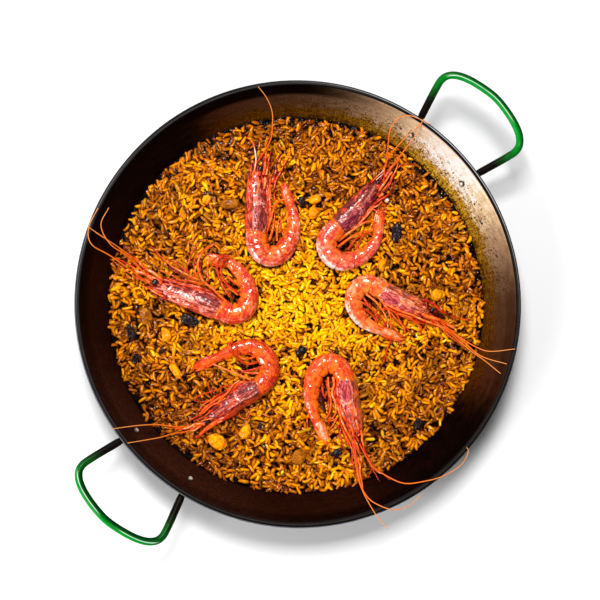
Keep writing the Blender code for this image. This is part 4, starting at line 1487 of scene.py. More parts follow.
    def head_parts(self, draw: np.random.Generator) -> list[Patch]:
        """The bundle of legs under the head.

        Args:
            draw: the random numbers.

        Returns:
            The legs.
        """
        size = self.carapace / MM
        parts = []
        for k in range(7):
            start = (0.12 + 0.105 * k) * size
            out = 11.4 - 0.55 * k + draw.uniform(-0.4, 0.4)
            reach = size * (0.86 + 0.06 * k) + draw.uniform(-5, 9)
            knee = start + 0.45 * (reach - start)
            high = 7.4 - 0.5 * k
            way = self.local([
                (start, out - 2.5, high - 1.5), (start + 5, out + 0.7, high),
                (knee, out + 1.8 - 0.15 * k, high - 0.6),
                (reach - 6, out + 1.0, 4.2 + draw.uniform(-1, 1)),
                (reach + 4, out + draw.uniform(-1, 1.6), 2.6),
            ])
            width = draw.uniform(0.0019, 0.0026)
            tones = (draw.uniform(0.25, 0.5), draw.uniform(0.15, 0.62), draw.uniform(0.30, 0.62))
            parts.append(strand(way, (width * 1.2, width, width * 0.85, width * 0.4), tones, 0.9))
        return parts

    def tail_parts(self, draw: np.random.Generator) -> list[Patch]:
        """The tail fan: five overlapping leaf-shaped blades from the end of the last segment.

        Args:
            draw: the random numbers.

        Returns:
            The blades.
        """
        start = sum(share for share, _, _ in self.segments) * self.abdomen
        length = self.abdomen - start
        root, end = self.at(np.array([start - 0.001])), self.at(np.array([self.abdomen]))
        forward = unit(end - root)[0]
        aside = np.array([-forward[1], forward[0]])
        parts = []
        for k, (splay, low, long, wide) in enumerate(self.fan_blades):
            turn = math.radians(splay + draw.uniform(-2, 2))
            way = forward * math.cos(turn) + aside * math.sin(turn)
            first = np.array([*(root[0] + aside * splay * 0.00022), self.rest + low * MM])
            last = np.array([*(root[0] + way * length * long), self.rest + low * 0.55 * MM])
            tone = self.tail_tone - 0.10 + 0.07 * k
            parts.append(self.blade(first, last, wide * MM * self.girth, 0.0016, tone, -0.0008))
        return parts

    def build_whiskers(self) -> Patch:
        """Long thin whiskers, which rise in a straight ramp from the rice to the rim and lie level on it.

        Returns:
            The whiskers.
        """
        parts = []
        for number, route in enumerate(self.whiskers):
            start = self.local([((self.carapace + 0.006) / MM, 1 + 2 * number, 6)])[0, :2]
            plan = np.array([start, *route])
            share = np.clip((np.hypot(*plan.T) - self.ramp[0]) / (self.ramp[1] - self.ramp[0]), 0, 1)
            knots = np.column_stack([plan, self.whisker_low + (self.whisker_high - self.whisker_low) * share])
            knots[0, 2] = self.rest + 0.006
            widths = (self.whisker_width * 1.3, self.whisker_width, self.whisker_width * 0.6)
            parts.append(strand(knots, widths, (0.5,)))
        return together(parts)

    def eye_patch(self) -> Patch:
        """The eye that faces up: a ball at its pixel.

        Returns:
            The ball.
        """
        across, down, above = self.eye
        centre = VIEW.level(np.array([[across, down]]), np.array([self.rest + above * MM]))[0]
        bow = np.linspace(0.08, math.pi - 0.08, 13)
        line = np.stack([self.eye_radius * np.sin(bow), -self.eye_radius * np.cos(bow)], 1)
        return tubes(lathe(line, 20) + centre)

    def build(
        self, limb: bpy.types.Material, whisker: bpy.types.Material, eye: bpy.types.Material
    ) -> list[Piece]:
        """Makes the prawn.

        Args:
            limb: finish of its limbs.
            whisker: finish of its whiskers.
            eye: finish of its eye.

        Returns:
            The pieces.
        """
        node, slot = f"prawn_{self.number}", "prawn_shell"
        draw = np.random.default_rng(100 + self.number)
        limbs = self.head_parts(draw) + self.tail_parts(draw) + [each.patch(self.rest) for each in self.limbs]
        return [
            add_piece(f"{node}_shell", self.shell(), self.finish.material(), slot, node),
            add_piece(f"{node}_limbs", together(limbs), limb, slot, node),
            add_piece(f"{node}_whiskers", self.build_whiskers(), whisker, slot, node),
            add_piece(f"{node}_eye", self.eye_patch(), eye, slot, node),
        ]


# Limbs that the photograph shows one by one, by prawn
LIMBS_1: tuple[Limb, ...] = (
    Limb((251, 194, 251, 187, 252, 181, 254, 173, 255, 167, 256, 160, 255, 151, 253, 141),
     (11, 10, 10, 9, 8, 7, 6), 2.6, "RROPWWR", 0.3),
    Limb((255, 175, 256.4, 167, 257, 160, 256.4, 151, 254, 141), (7, 6, 6, 5), 1.6, "DBBD", 0.4),
    Limb((249, 187, 250, 181, 251, 174, 253, 164), (9, 9, 8), 2.0, "RD"),
    Limb((263, 175, 264.5, 169, 265, 164, 265.6, 158, 266, 153), (8, 8, 7, 6), 2.7, "OORP", 0.8),
    Limb((262, 166, 263, 160, 264, 154), (8, 7, 6), 1.4, "D"),
    Limb((266, 154, 266, 145, 269, 138, 272, 130), (6, 7, 8, 9), 0.8, "O"),
    Limb((266, 175, 267, 171, 268, 166, 269, 159, 270, 154, 272, 149), (8, 8, 7, 6, 5), 2.2, "PRRD", 0.5),
    Limb((265, 178, 265, 183, 264, 189), (10, 11, 11), 2.5, "PPO", 0.8),
    Limb((271, 199, 270, 190, 270, 183, 270, 176, 269, 169), (8, 8, 8, 7), 1.9, "OOR"),
    Limb((272, 183, 274, 176, 276, 171, 275.5, 165, 278, 159, 281, 154), (5, 5, 4, 3), 4.6, "RDD", 0.3, 0.6),
    Limb((270, 166, 272, 159, 275, 156), (7, 6, 5), 1.2, "D"),
    Limb((274, 189, 275, 184, 276, 180, 279, 175, 282, 169, 285, 163, 289, 158),
     (7, 6, 5, 4, 3), 2.2, "R", 0.6),
    Limb((275, 200, 274, 195, 275, 192, 277, 190, 281, 188), (8, 7, 5), 1.2, "OR"),
    Limb((261, 172, 259, 176), (9.5, 10), 2.6, "R", 0.8),
    Limb((258, 178, 259, 185, 258, 190, 256, 195), (11, 11.5, 12), 2.1, "OPO", 0.7),
    Limb((265, 236, 271, 219, 273, 211, 277, 203, 286, 199, 294, 200, 300, 204),
     (4, 9, 12, 14, 14, 8), 3.0, "O", 0.3),
    Limb((269, 241, 272, 232, 274, 222, 275, 212), (5, 6, 5), 2.8, "O", 0.4),
    Limb((277, 241, 277, 230, 279, 219), (5, 5, 4), 2.4, "O", 0.4),
    Limb((284, 237, 281, 227, 281, 216), (4, 5, 4), 2.2, "R", 0.4),
)
LIMBS_2: tuple[Limb, ...] = (
    Limb((371, 183, 376, 178, 381, 173, 384, 170, 387, 166, 389, 160), (9, 8, 7, 5, 4), 3.2, "RDBDD", 0.35),
    Limb((372, 182, 376, 177.5, 381, 173, 384, 169.7, 387, 165.7), (11, 10, 9, 8, 7), 1.3, "RPWWP", 0.5),
    Limb((376, 180, 380, 176.6, 383, 174), (10, 9, 8), 1.1, "W"),
    Limb((385, 178, 387, 174, 390, 170, 392, 167, 396, 163, 399, 160), (8, 8, 7, 5), 3.8, "RRPOO", 0.5),
    Limb((379, 191, 381, 188, 383, 185, 386, 181, 389, 176, 392, 172), (9, 9, 8, 7), 2.3, "OPOP", 0.7),
    Limb((383, 192, 387, 189, 389, 185, 391, 181, 392, 177, 395, 172, 397, 167, 398, 163),
     (7, 6, 5), 2.3, "DROO", 0.6),
    Limb((374, 204, 380, 200, 385, 197, 389, 194, 392, 190, 394, 185, 395, 179), (8, 8, 7, 5), 2.6, "RRDD"),
    Limb((375, 207, 379, 205, 382, 201), (8, 8, 7), 1.3, "P"),
    Limb((398, 168, 401, 165, 405, 164, 409, 164, 412, 164, 415, 166), (5, 5, 6), 1.0, "R"),
    Limb((379, 197, 383, 194), (9, 8), 3.0, "OP", 0.8),
    Limb((385, 202, 388, 199), (4, 4), 4.5, "PW", 0.9, 0.7),
    Limb((380, 200, 383, 204, 385, 207, 387, 213), (7, 6, 4, 3), 1.6, "RO"),
    Limb((338, 241, 350, 232, 362, 224, 370, 221, 378, 223), (5, 8, 7, 5), 3.2, "OPO", 0.35),
    Limb((338, 247, 350, 238, 362, 232, 374, 230), (5, 7, 6, 4), 2.8, "O", 0.35),
    Limb((348, 250, 353, 242, 361, 235, 368, 233, 373, 236), (4, 6, 5, 4), 2.4, "R", 0.35),
    Limb((357, 250, 359, 243, 363, 236, 369, 234), (4, 5, 4), 2.2, "R", 0.35),
    Limb((361, 223, 370, 211, 379, 204, 386, 197), (6, 6, 5), 2.2, "R"),
    Limb((371, 209, 380, 211, 383, 204), (6, 8, 6), 1.2, "R"),
    Limb((387, 231, 391, 238, 388, 245, 382, 246), (5, 3, 3, 5), 0.9, "D"),
)
LIMBS_3: tuple[Limb, ...] = (
    Limb((167, 299, 162, 296, 156, 293, 150, 289, 144, 286, 139, 283.5),
     (10, 10, 9, 7, 5), 2.4, "ROPRD", 0.3),
    Limb((162, 293, 154, 289, 148, 286), (10, 9, 8), 2.0, "OR"),
    Limb((164, 300, 155, 295, 148, 291), (9, 8, 7), 1.7, "D"),
    Limb((154, 281, 146, 274, 140, 269, 134, 263, 127, 257, 119, 248, 110, 241.7, 90, 229),
     (8, 8, 9, 14, 29), 1.5, "O", 0.5),
    Limb((163, 280, 159, 277, 154, 273, 146, 269, 141, 265, 137, 260, 135, 258, 129, 251, 123, 244),
     (9, 9, 8, 6, 5), 2.6, "RPPRPDDD", 0.5),
    Limb((160, 270, 154, 266, 148, 262, 142, 256), (6, 5, 4), 1.3, "D"),
    Limb((203, 284, 190, 281, 179, 280, 175, 277, 167, 273, 158, 270), (8, 8, 7, 6), 2.0, "ORO"),
    Limb((200, 280, 190, 276, 182, 272, 173, 267, 167, 262, 159, 255, 151, 246), (8, 7, 5, 3), 1.9, "OOR"),
    Limb((193, 281, 187, 273, 183, 269, 176, 263, 167, 259), (7, 5, 3), 1.5, "R"),
    Limb((190, 273, 185, 269, 181, 264, 175, 260), (6, 5, 4), 1.5, "OD"),
    Limb((190, 279, 187.5, 272, 187, 266, 189, 261, 193, 251, 200, 242), (7, 7, 7, 5, 3), 1.8, "R"),
    Limb((197, 277, 195, 272, 194, 264, 195.5, 257, 200, 254), (8, 7, 6, 5), 1.6, "OR"),
    Limb((203, 280, 200, 272, 201, 262, 206, 255, 212, 251), (9, 7, 6, 5), 1.5, "RD"),
    Limb((209, 281, 207, 271, 210, 262, 217, 257), (9, 8, 7, 6), 1.6, "RO"),
    Limb((184, 281, 178, 272, 170, 267, 160, 263), (6, 5, 4), 1.3, "D"),
    Limb((196, 284, 186, 279, 176, 272, 163, 266), (6, 5, 4), 1.2, "RD"),
    Limb((162, 284, 158, 280, 151, 277, 147, 275, 142, 273, 136, 271, 134, 268, 124, 262, 111, 256.6),
     (8, 8, 7, 7, 8, 12), 3.6, "ROOPORRR", 0.25),
    Limb((150, 283, 147, 281, 141, 279, 136, 277), (8, 7, 7), 2.7, "OPOO", 0.8),
    Limb((137, 277, 131, 274, 124, 269, 117.5, 264, 110, 259), (8, 8, 9, 13), 1.0, "O"),
    Limb((135, 278, 129, 278, 122, 276), (7, 7, 8), 0.8, "O"),
    Limb((214, 244, 203, 252, 198, 262, 199, 272, 204, 282, 212, 288, 220, 296, 227, 302),
     (6, 9, 10, 9, 8, 7), 1.9, "O", 1.2),
    Limb((229, 256, 222, 256, 217, 265, 218, 274, 223, 286, 230, 297), (11, 10, 8, 7, 6), 2.0, "R", 1.1),
    Limb((229, 257, 223, 262, 221, 272, 225, 282, 231, 288, 238, 293), (12, 9, 8, 7, 6), 2.0, "R", 1.1),
    Limb((227, 276, 234, 282, 240, 286), (6, 6, 5), 2.2, "O", 0.8),
    Limb((228, 288, 233, 291, 238, 295), (6, 6, 5), 2.2, "O", 0.8),
)
LIMBS_4: tuple[Limb, ...] = (
    Limb((236, 411, 229, 415, 221, 419.5, 213, 424.5, 205, 430, 200, 435, 196, 438),
     (6, 7, 8, 6, 5), 7.0, "RROR", 0.35, 0.6),
    Limb((222, 421, 214, 424, 206, 429, 199, 435), (9, 8, 7), 1.2, "P"),
    Limb((205, 424, 203, 424, 198, 424, 195, 424, 190, 427, 180, 429, 165, 426),
     (8, 8, 8, 9, 12), 3.2, "OOPORR", 0.25),
    Limb((202, 425, 199, 427, 195, 430, 190, 431, 180, 434), (7, 7, 7, 8), 2.2, "OPOR", 0.4),
    Limb((213, 418, 209, 419, 201, 421), (9, 8, 7), 1.2, "P"),
    Limb((226, 398, 219, 402, 211, 406, 203, 413, 194, 418, 189, 421), (9, 8, 6, 4), 1.7, "OOR", 0.6),
    Limb((211, 411, 203, 417, 194, 421), (7, 6, 4), 1.4, "R"),
    Limb((227, 391, 220, 394, 215, 397, 210, 400, 207, 402, 203, 405, 199, 411), (8, 7, 6, 4), 1.7, "DROO"),
    Limb((210, 400, 203, 402, 195, 401), (6, 5, 3), 1.4, "R"),
    Limb((235, 384, 226, 386, 219, 389, 211, 392, 203, 394, 197, 397, 194.6, 401),
     (8, 6, 4, 3), 1.4, "R", 0.8),
    Limb((212, 395, 210, 391, 208, 385, 206, 380, 204, 368), (5, 4, 3), 1.0, "R"),
    Limb((217, 404, 223, 397, 229, 391, 233, 385, 240, 380), (9, 9, 10, 9), 1.9, "O", 0.7),
    Limb((251, 380, 237, 374, 225, 369, 213, 364), (5, 7, 7, 5), 2.0, "P", 0.6),
    Limb((261, 361, 248, 364, 240, 360, 233, 351, 230, 345, 233, 341), (5, 7, 9, 12, 12, 10), 2.4, "R", 0.7),
    Limb((258, 356, 244, 359, 235, 354, 229, 347, 230, 341, 237, 336), (6, 8, 10, 12, 12, 9), 1.8, "O", 0.7),
    Limb((262, 367, 251, 370, 243, 371, 234, 369), (5, 6, 5, 4), 2.6, "R", 0.4),
    Limb((262, 373, 251, 373, 241, 372), (5, 5, 4), 2.4, "O", 0.4),
    Limb((250, 413.7, 248, 410, 244.6, 408.3, 241, 410, 239, 413.7, 241, 417.5, 244.6, 419, 248, 417.5,
      250, 413.7),
     (4, 3, 4), 0.8, "O", 1.0),
)
LIMBS_5: tuple[Limb, ...] = (
    Limb((422, 299, 426, 300.5, 434, 304.5, 440, 310, 449, 315, 457, 318, 468, 320),
     (9, 9, 8, 6, 5), 3.6, "DRRDRO", 0.25),
    Limb((424, 303, 430, 308, 437, 313, 445, 318), (7, 7, 6, 5), 4.6, "DDB", 0.4, 0.5),
    # a short pale and white strand that paints the glare by the head
    Limb((422, 314, 425, 315, 429, 318), (9, 8, 7), 2.6, "PWO", 0.8),
    Limb((435.5, 314.5, 437.5, 316), (7, 7), 3.2, "B", 0.9),
    Limb((424, 315, 429, 317, 437, 319, 445, 323, 454, 328), (8, 8, 7, 6), 3.8, "OPROP", 0.6),
    Limb((446, 327, 451, 331, 455, 336, 459, 340), (5, 5, 4), 1.5, "R"),
    Limb((434, 324, 442, 328, 448, 335, 455, 340, 463, 345), (6, 6, 5, 4), 1.8, "O", 0.7),
    Limb((383, 308, 390, 310, 400, 314, 409, 317, 416, 323, 421, 327, 421, 334),
     (8, 8, 7, 5, 3), 1.9, "ROR", 0.7),
    Limb((384, 304, 390, 306, 400, 311, 412, 315, 423, 320, 434, 324, 443, 327, 455, 332),
     (8, 9, 8, 7, 6), 2.3, "OPO", 0.6),
    Limb((386, 308, 391, 313, 396, 319, 402, 325, 405, 330, 404, 334), (7, 6, 4, 2), 1.6, "O", 0.7),
    Limb((392, 311, 397, 315, 400, 321, 405, 327, 412, 333), (7, 6, 4, 3), 1.4, "OR", 0.7),
    Limb((388, 321, 392, 325, 399, 334, 407, 339), (6, 6, 4), 1.2, "R"),
    Limb((402, 315, 425, 321, 424, 331, 425, 339, 428, 346, 432, 349), (7, 6, 4, 2), 0.9, "O", 0.8),
    Limb((420, 290, 423, 296, 426, 302, 427, 309), (5, 9, 10), 0.9, "O"),
    Limb((372, 291, 380, 299, 388, 310, 391, 320, 391, 329), (7, 8, 7, 5), 2.2, "OPO", 0.6),
    Limb((366, 294, 375, 301, 383, 311, 387, 320, 388, 328), (7, 8, 7, 5), 2.2, "POP", 0.6),
    Limb((363, 297, 370, 307, 378, 315, 384, 321, 385, 327), (6, 7, 6, 4), 2.2, "R", 0.6),
    Limb((361, 302, 368, 306, 375, 313, 378, 322), (6, 6, 5), 2.2, "R", 0.6),
    Limb((363, 309, 370, 313, 375, 319, 377, 324), (5, 6, 5), 2.2, "R", 0.6),
    Limb((377, 338, 370, 344, 359, 348), (5, 3, 2), 1.1, "R"),
    Limb((391, 340, 387, 350, 384, 361, 381, 366), (4, 3, 2), 1.6, "R"),
    Limb((401, 343, 397, 350, 390, 356), (4, 3, 2), 1.3, "R"),
)
LIMBS_6: tuple[Limb, ...] = (
    Limb((337, 404, 339, 411, 342, 421, 347, 432, 353, 442, 358, 451, 361, 458, 361, 465),
     (9, 9, 8, 6, 5), 2.3, "OPOOP", 0.6),
    Limb((340, 405, 341.5, 410, 344, 417, 348, 423, 352, 429, 354, 438, 357, 445, 360, 455),
     (10, 10, 9, 7, 6), 3.0, "RPRORPR", 0.6),
    Limb((338, 425, 340, 434, 342, 442, 344, 450), (5, 4, 3), 1.9, "R", 0.6),
    Limb((340, 420, 341.5, 426, 345.5, 436, 349.5, 442.5, 352, 451, 352, 457, 353, 465, 355, 473, 358,
      480, 362, 490),
     (6, 6, 5, 4, 5, 9), 1.7, "RORRO"),
    Limb((353, 450, 355, 455, 358, 461, 360, 465, 360, 473, 362, 483, 363, 490),
     (6, 6, 6, 8, 12), 2.7, "O", 0.4),
    Limb((355, 408, 356, 412, 356, 420, 358.7, 430), (12, 11, 10, 8), 2.6, "OPPO", 0.6, 0.6),
    Limb((358, 436, 360, 434, 364, 433, 367, 431), (8, 8, 7, 6), 1.6, "O"),
    Limb((361, 430, 362, 436, 362, 440, 363, 443, 364, 449, 367, 455, 370, 462, 372, 468, 376, 475, 380,
      482),
     (9, 8, 7, 5, 6, 9), 2.3, "OPRRRRD", 0.4),
    Limb((357, 437, 360, 444, 362, 452), (5, 5, 4), 4.0, "D", 0.6, 0.6),
    Limb((368, 460, 370, 462, 376, 468, 383, 474, 390, 480), (6, 6, 8, 14), 0.9, "R"),
    Limb((364, 452, 367, 455, 372, 456, 377, 459), (6, 6, 6), 0.8, "O"),
    Limb((371, 463, 371, 466, 371, 471, 368, 477), (5, 4, 4), 0.9, "O"),
    Limb((333, 377, 334, 385, 332, 393, 335, 402, 336, 412, 332, 419), (6, 8, 8, 7, 5), 2.6, "OPO", 0.5),
    Limb((328, 377, 329, 391, 331, 402, 329, 414, 324, 418), (6, 7, 7, 5), 2.0, "O", 0.7),
    # a broad dark flat strand that paints the shade between the body and the legs
    Limb((321, 390, 321.5, 398, 323.5, 408, 327, 415), (4, 4, 3), 6.5, "DBD", 0.3, 0.6),
    Limb((322, 383, 323, 393, 326, 399), (6, 6, 4), 2.2, "R", 0.6),
    Limb((326, 380, 328, 392, 329, 402, 329, 425), (5, 6, 5, 3), 1.6, "R", 0.7),
    Limb((337, 418, 331, 421, 325, 420), (6, 5, 7), 1.2, "O", 0.8),
    Limb((337, 418, 333, 425, 329, 430), (6, 4, 3), 1.4, "O", 0.6),
    Limb((307, 418, 308, 433), (3, 2), 1.5, "R"),
    Limb((329, 446, 327, 453), (3, 2), 1.3, "R"),
)
PRAWNS = (
    Prawn(
        number=1, rear=(0.0195, 0.0720), heading=45.5, carapace=0.056, abdomen=0.113, girth=1.0,
        bends=(-3, 43, 57, 48, 12, 23, 17),
        whiskers=(((0.089, 0.121), (0.101, 0.130), (0.108, 0.138), (0.112, 0.149), (0.113, 0.161)),),
        limbs=LIMBS_1,
        finish=ShellFinish(
            "prawn_shell_1", deep=(0.50, 0.022, 0.010), dorsal=(0.62, 0.07, 0.06), pallor_and_glare=0.50, darkness=0.48,
            frost=0.42,
        ),
        eye=(260.4, 168.6, 7.5), eye_radius=0.0024, tail_tone=0.45, hollow=0.013,
    ),
    Prawn(
        number=2, rear=(0.0749, 0.0220), heading=2.7, carapace=0.054, abdomen=0.120, girth=0.97,
        bends=(-12, 51, 50, 52, 13, 29, 34),
        whiskers=(
            ((0.150, 0.031), (0.161, 0.041), (0.171, 0.049), (0.181, 0.051), (0.189, 0.047), (0.194, 0.038),
             (0.198, 0.026)),
            ((0.155, 0.025), (0.168, 0.027), (0.184, 0.029), (0.197, 0.034)),
            ((0.151, 0.032), (0.170, 0.034), (0.194, 0.033)),
        ),
        limbs=LIMBS_2,
        finish=ShellFinish(
            "prawn_shell_2", deep=(0.60, 0.040, 0.030), red=(0.88, 0.065, 0.028), pallor_and_glare=0.57, darkness=0.70,
            dorsal=(0.26, 0.060, 0.060), gill=(0.30, 0.028, 0.060),
        ),
        eye=(378, 182, 8.0), eye_radius=0.0018, tail_tone=0.45, hollow=0.012,
    ),
    Prawn(
        number=3, rear=(-0.0537, 0.0483), heading=115.6, carapace=0.057, abdomen=0.103, girth=0.99,
        bends=(-11, 39, 51, 35, 20, 15, 39),
        whiskers=(
            ((-0.087, 0.149), (-0.092, 0.169), (-0.083, 0.181), (-0.065, 0.187)),
            ((-0.076, 0.136), (-0.080, 0.158), (-0.074, 0.175), (-0.058, 0.181)),
            ((-0.074, 0.134), (-0.083, 0.181)),
        ),
        limbs=LIMBS_3,
        finish=ShellFinish(
            "prawn_shell_3", deep=(0.56, 0.022, 0.006), dorsal=(0.80, 0.13, 0.07), pallor_and_glare=0.36, darkness=0.42
        ),
        eye=(155.1, 281.9, 9.2), eye_radius=0.0030, tail_tone=0.52, hollow=0.012,
    ),
    Prawn(
        number=4, rear=(-0.0802, -0.0260), heading=166.8, carapace=0.047, abdomen=0.110, girth=0.93,
        bends=(5, 42, 39, 36, 35, 15, 0),
        whiskers=(
            ((-0.152, -0.002), (-0.166, 0.016), (-0.179, 0.029), (-0.196, 0.043)),
            ((-0.150, -0.008), (-0.164, 0.002), (-0.174, 0.008), (-0.196, 0.025)),
        ),
        limbs=LIMBS_4,
        finish=ShellFinish(
            "prawn_shell_4", red=(0.74, 0.040, 0.006), deep=(0.42, 0.014, 0.004), orange=(1.00, 0.125, 0.003),
            dorsal=(0.52, 0.055, 0.010), pallor_and_glare=0.22, darkness=0.60, frost=0.12,
        ),
        eye=(205.3, 422.6, 7.5), eye_radius=0.0019, tail_tone=0.40, chin=0.0, broad=True,
    ),
    Prawn(
        number=5, rear=(0.0611, -0.0467), heading=-70.2, carapace=0.043, abdomen=0.104, girth=0.91,
        bends=(-16, 50, 51, 41, 23, 27, 8),
        whiskers=(
            ((0.080, -0.127), (0.083, -0.146), (0.088, -0.156), (0.103, -0.169)),
            ((0.077, -0.131), (0.077, -0.145), (0.078, -0.158), (0.078, -0.175)),
            ((0.079, -0.128), (0.079, -0.152), (0.088, -0.173)),
        ),
        limbs=LIMBS_5,
        finish=ShellFinish(
            "prawn_shell_5", red=(0.96, 0.130, 0.022), deep=(0.76, 0.055, 0.010), orange=(1.0, 0.23, 0.02),
            pink=(1.0, 0.33, 0.15), gill=(0.70, 0.080, 0.100), dorsal=(0.40, 0.110, 0.070),
            maroon=(0.26, 0.020, 0.028), pallor_and_glare=0.50, darkness=0.46, frost=0.35,
        ),
        eye=(432.2, 309.6, 8.0), eye_radius=0.0022, tail_tone=0.62, chin=0.0, broad=True, hollow=0.011,
    ),
    Prawn(
        number=6, rear=(-0.0197, -0.0781), heading=-125.7, carapace=0.047, abdomen=0.111, girth=0.96,
        bends=(11, 48, 57, 38, 12, 15, 15),
        whiskers=(
            ((-0.061, -0.147), (-0.060, -0.160), (-0.054, -0.178), (-0.040, -0.190), (-0.025, -0.199),
             (-0.007, -0.204), (0.006, -0.201), (0.008, -0.197)),
            ((-0.078, -0.148), (-0.085, -0.163), (-0.083, -0.176), (-0.077, -0.187), (-0.067, -0.194),
             (-0.050, -0.196)),
            ((-0.080, -0.150), (-0.091, -0.176), (-0.093, -0.194)),
        ),
        limbs=LIMBS_6,
        finish=ShellFinish(
            "prawn_shell_6", red=(0.94, 0.085, 0.008), deep=(0.66, 0.030, 0.005), gill=(0.56, 0.055, 0.065),
            dorsal=(0.50, 0.120, 0.030), maroon=(0.24, 0.018, 0.020), pallor_and_glare=0.32, darkness=0.46, frost=0.16,
        ),
        eye=(358.7, 442.5, 8.0), eye_radius=0.0014, tail_tone=0.66, chin=0.0, broad=True, hollow=0.013,
    ),
)


# Morsels


@dataclass(frozen=True)
class Morsel:
    """A chunk that lies on the rice."""

    name: str
    place: tuple[float, float]
    length: float
    width: float
    height: float
    turn: float  # degrees from +X

    def patch(self, rest: float, seed: int) -> Patch:
        """The chunk: an ellipsoid, a little squared, with lumps of three sizes.

        Args:
            rest: height of the rice's surface.
            seed: which lumps.

        Returns:
            The skin.
        """
        bow = np.linspace(0.05, math.pi - 0.05, 26)
        cosine, sine = around(36)
        ball = np.stack([
            np.sin(bow)[:, None] ** 0.8 * np.sign(cosine) * np.abs(cosine) ** 0.85,
            np.sin(bow)[:, None] ** 0.8 * np.sign(sine) * np.abs(sine) ** 0.85,
            -np.cos(bow)[:, None] + 0 * cosine,
        ], -1)
        lumps = 0.15 * ripple(ball, 2.0, seed) + 0.09 * ripple(ball, 0.9, seed + 50)
        lumps += 0.05 * ripple(ball, 0.45, seed + 90)
        ball = ball * (0.93 + lumps)[..., None]
        low, high = ball.min((0, 1)), ball.max((0, 1))
        ball = (ball - (low + high) / 2) / (high - low) * np.array([self.length, self.width, self.height])
        cosine, sine = math.cos(math.radians(self.turn)), math.sin(math.radians(self.turn))
        ball = ball @ np.array([[cosine, sine, 0], [-sine, cosine, 0], [0, 0, 1.0]])
        return tubes((ball + np.array([*self.place, rest + self.height / 2]))[None])


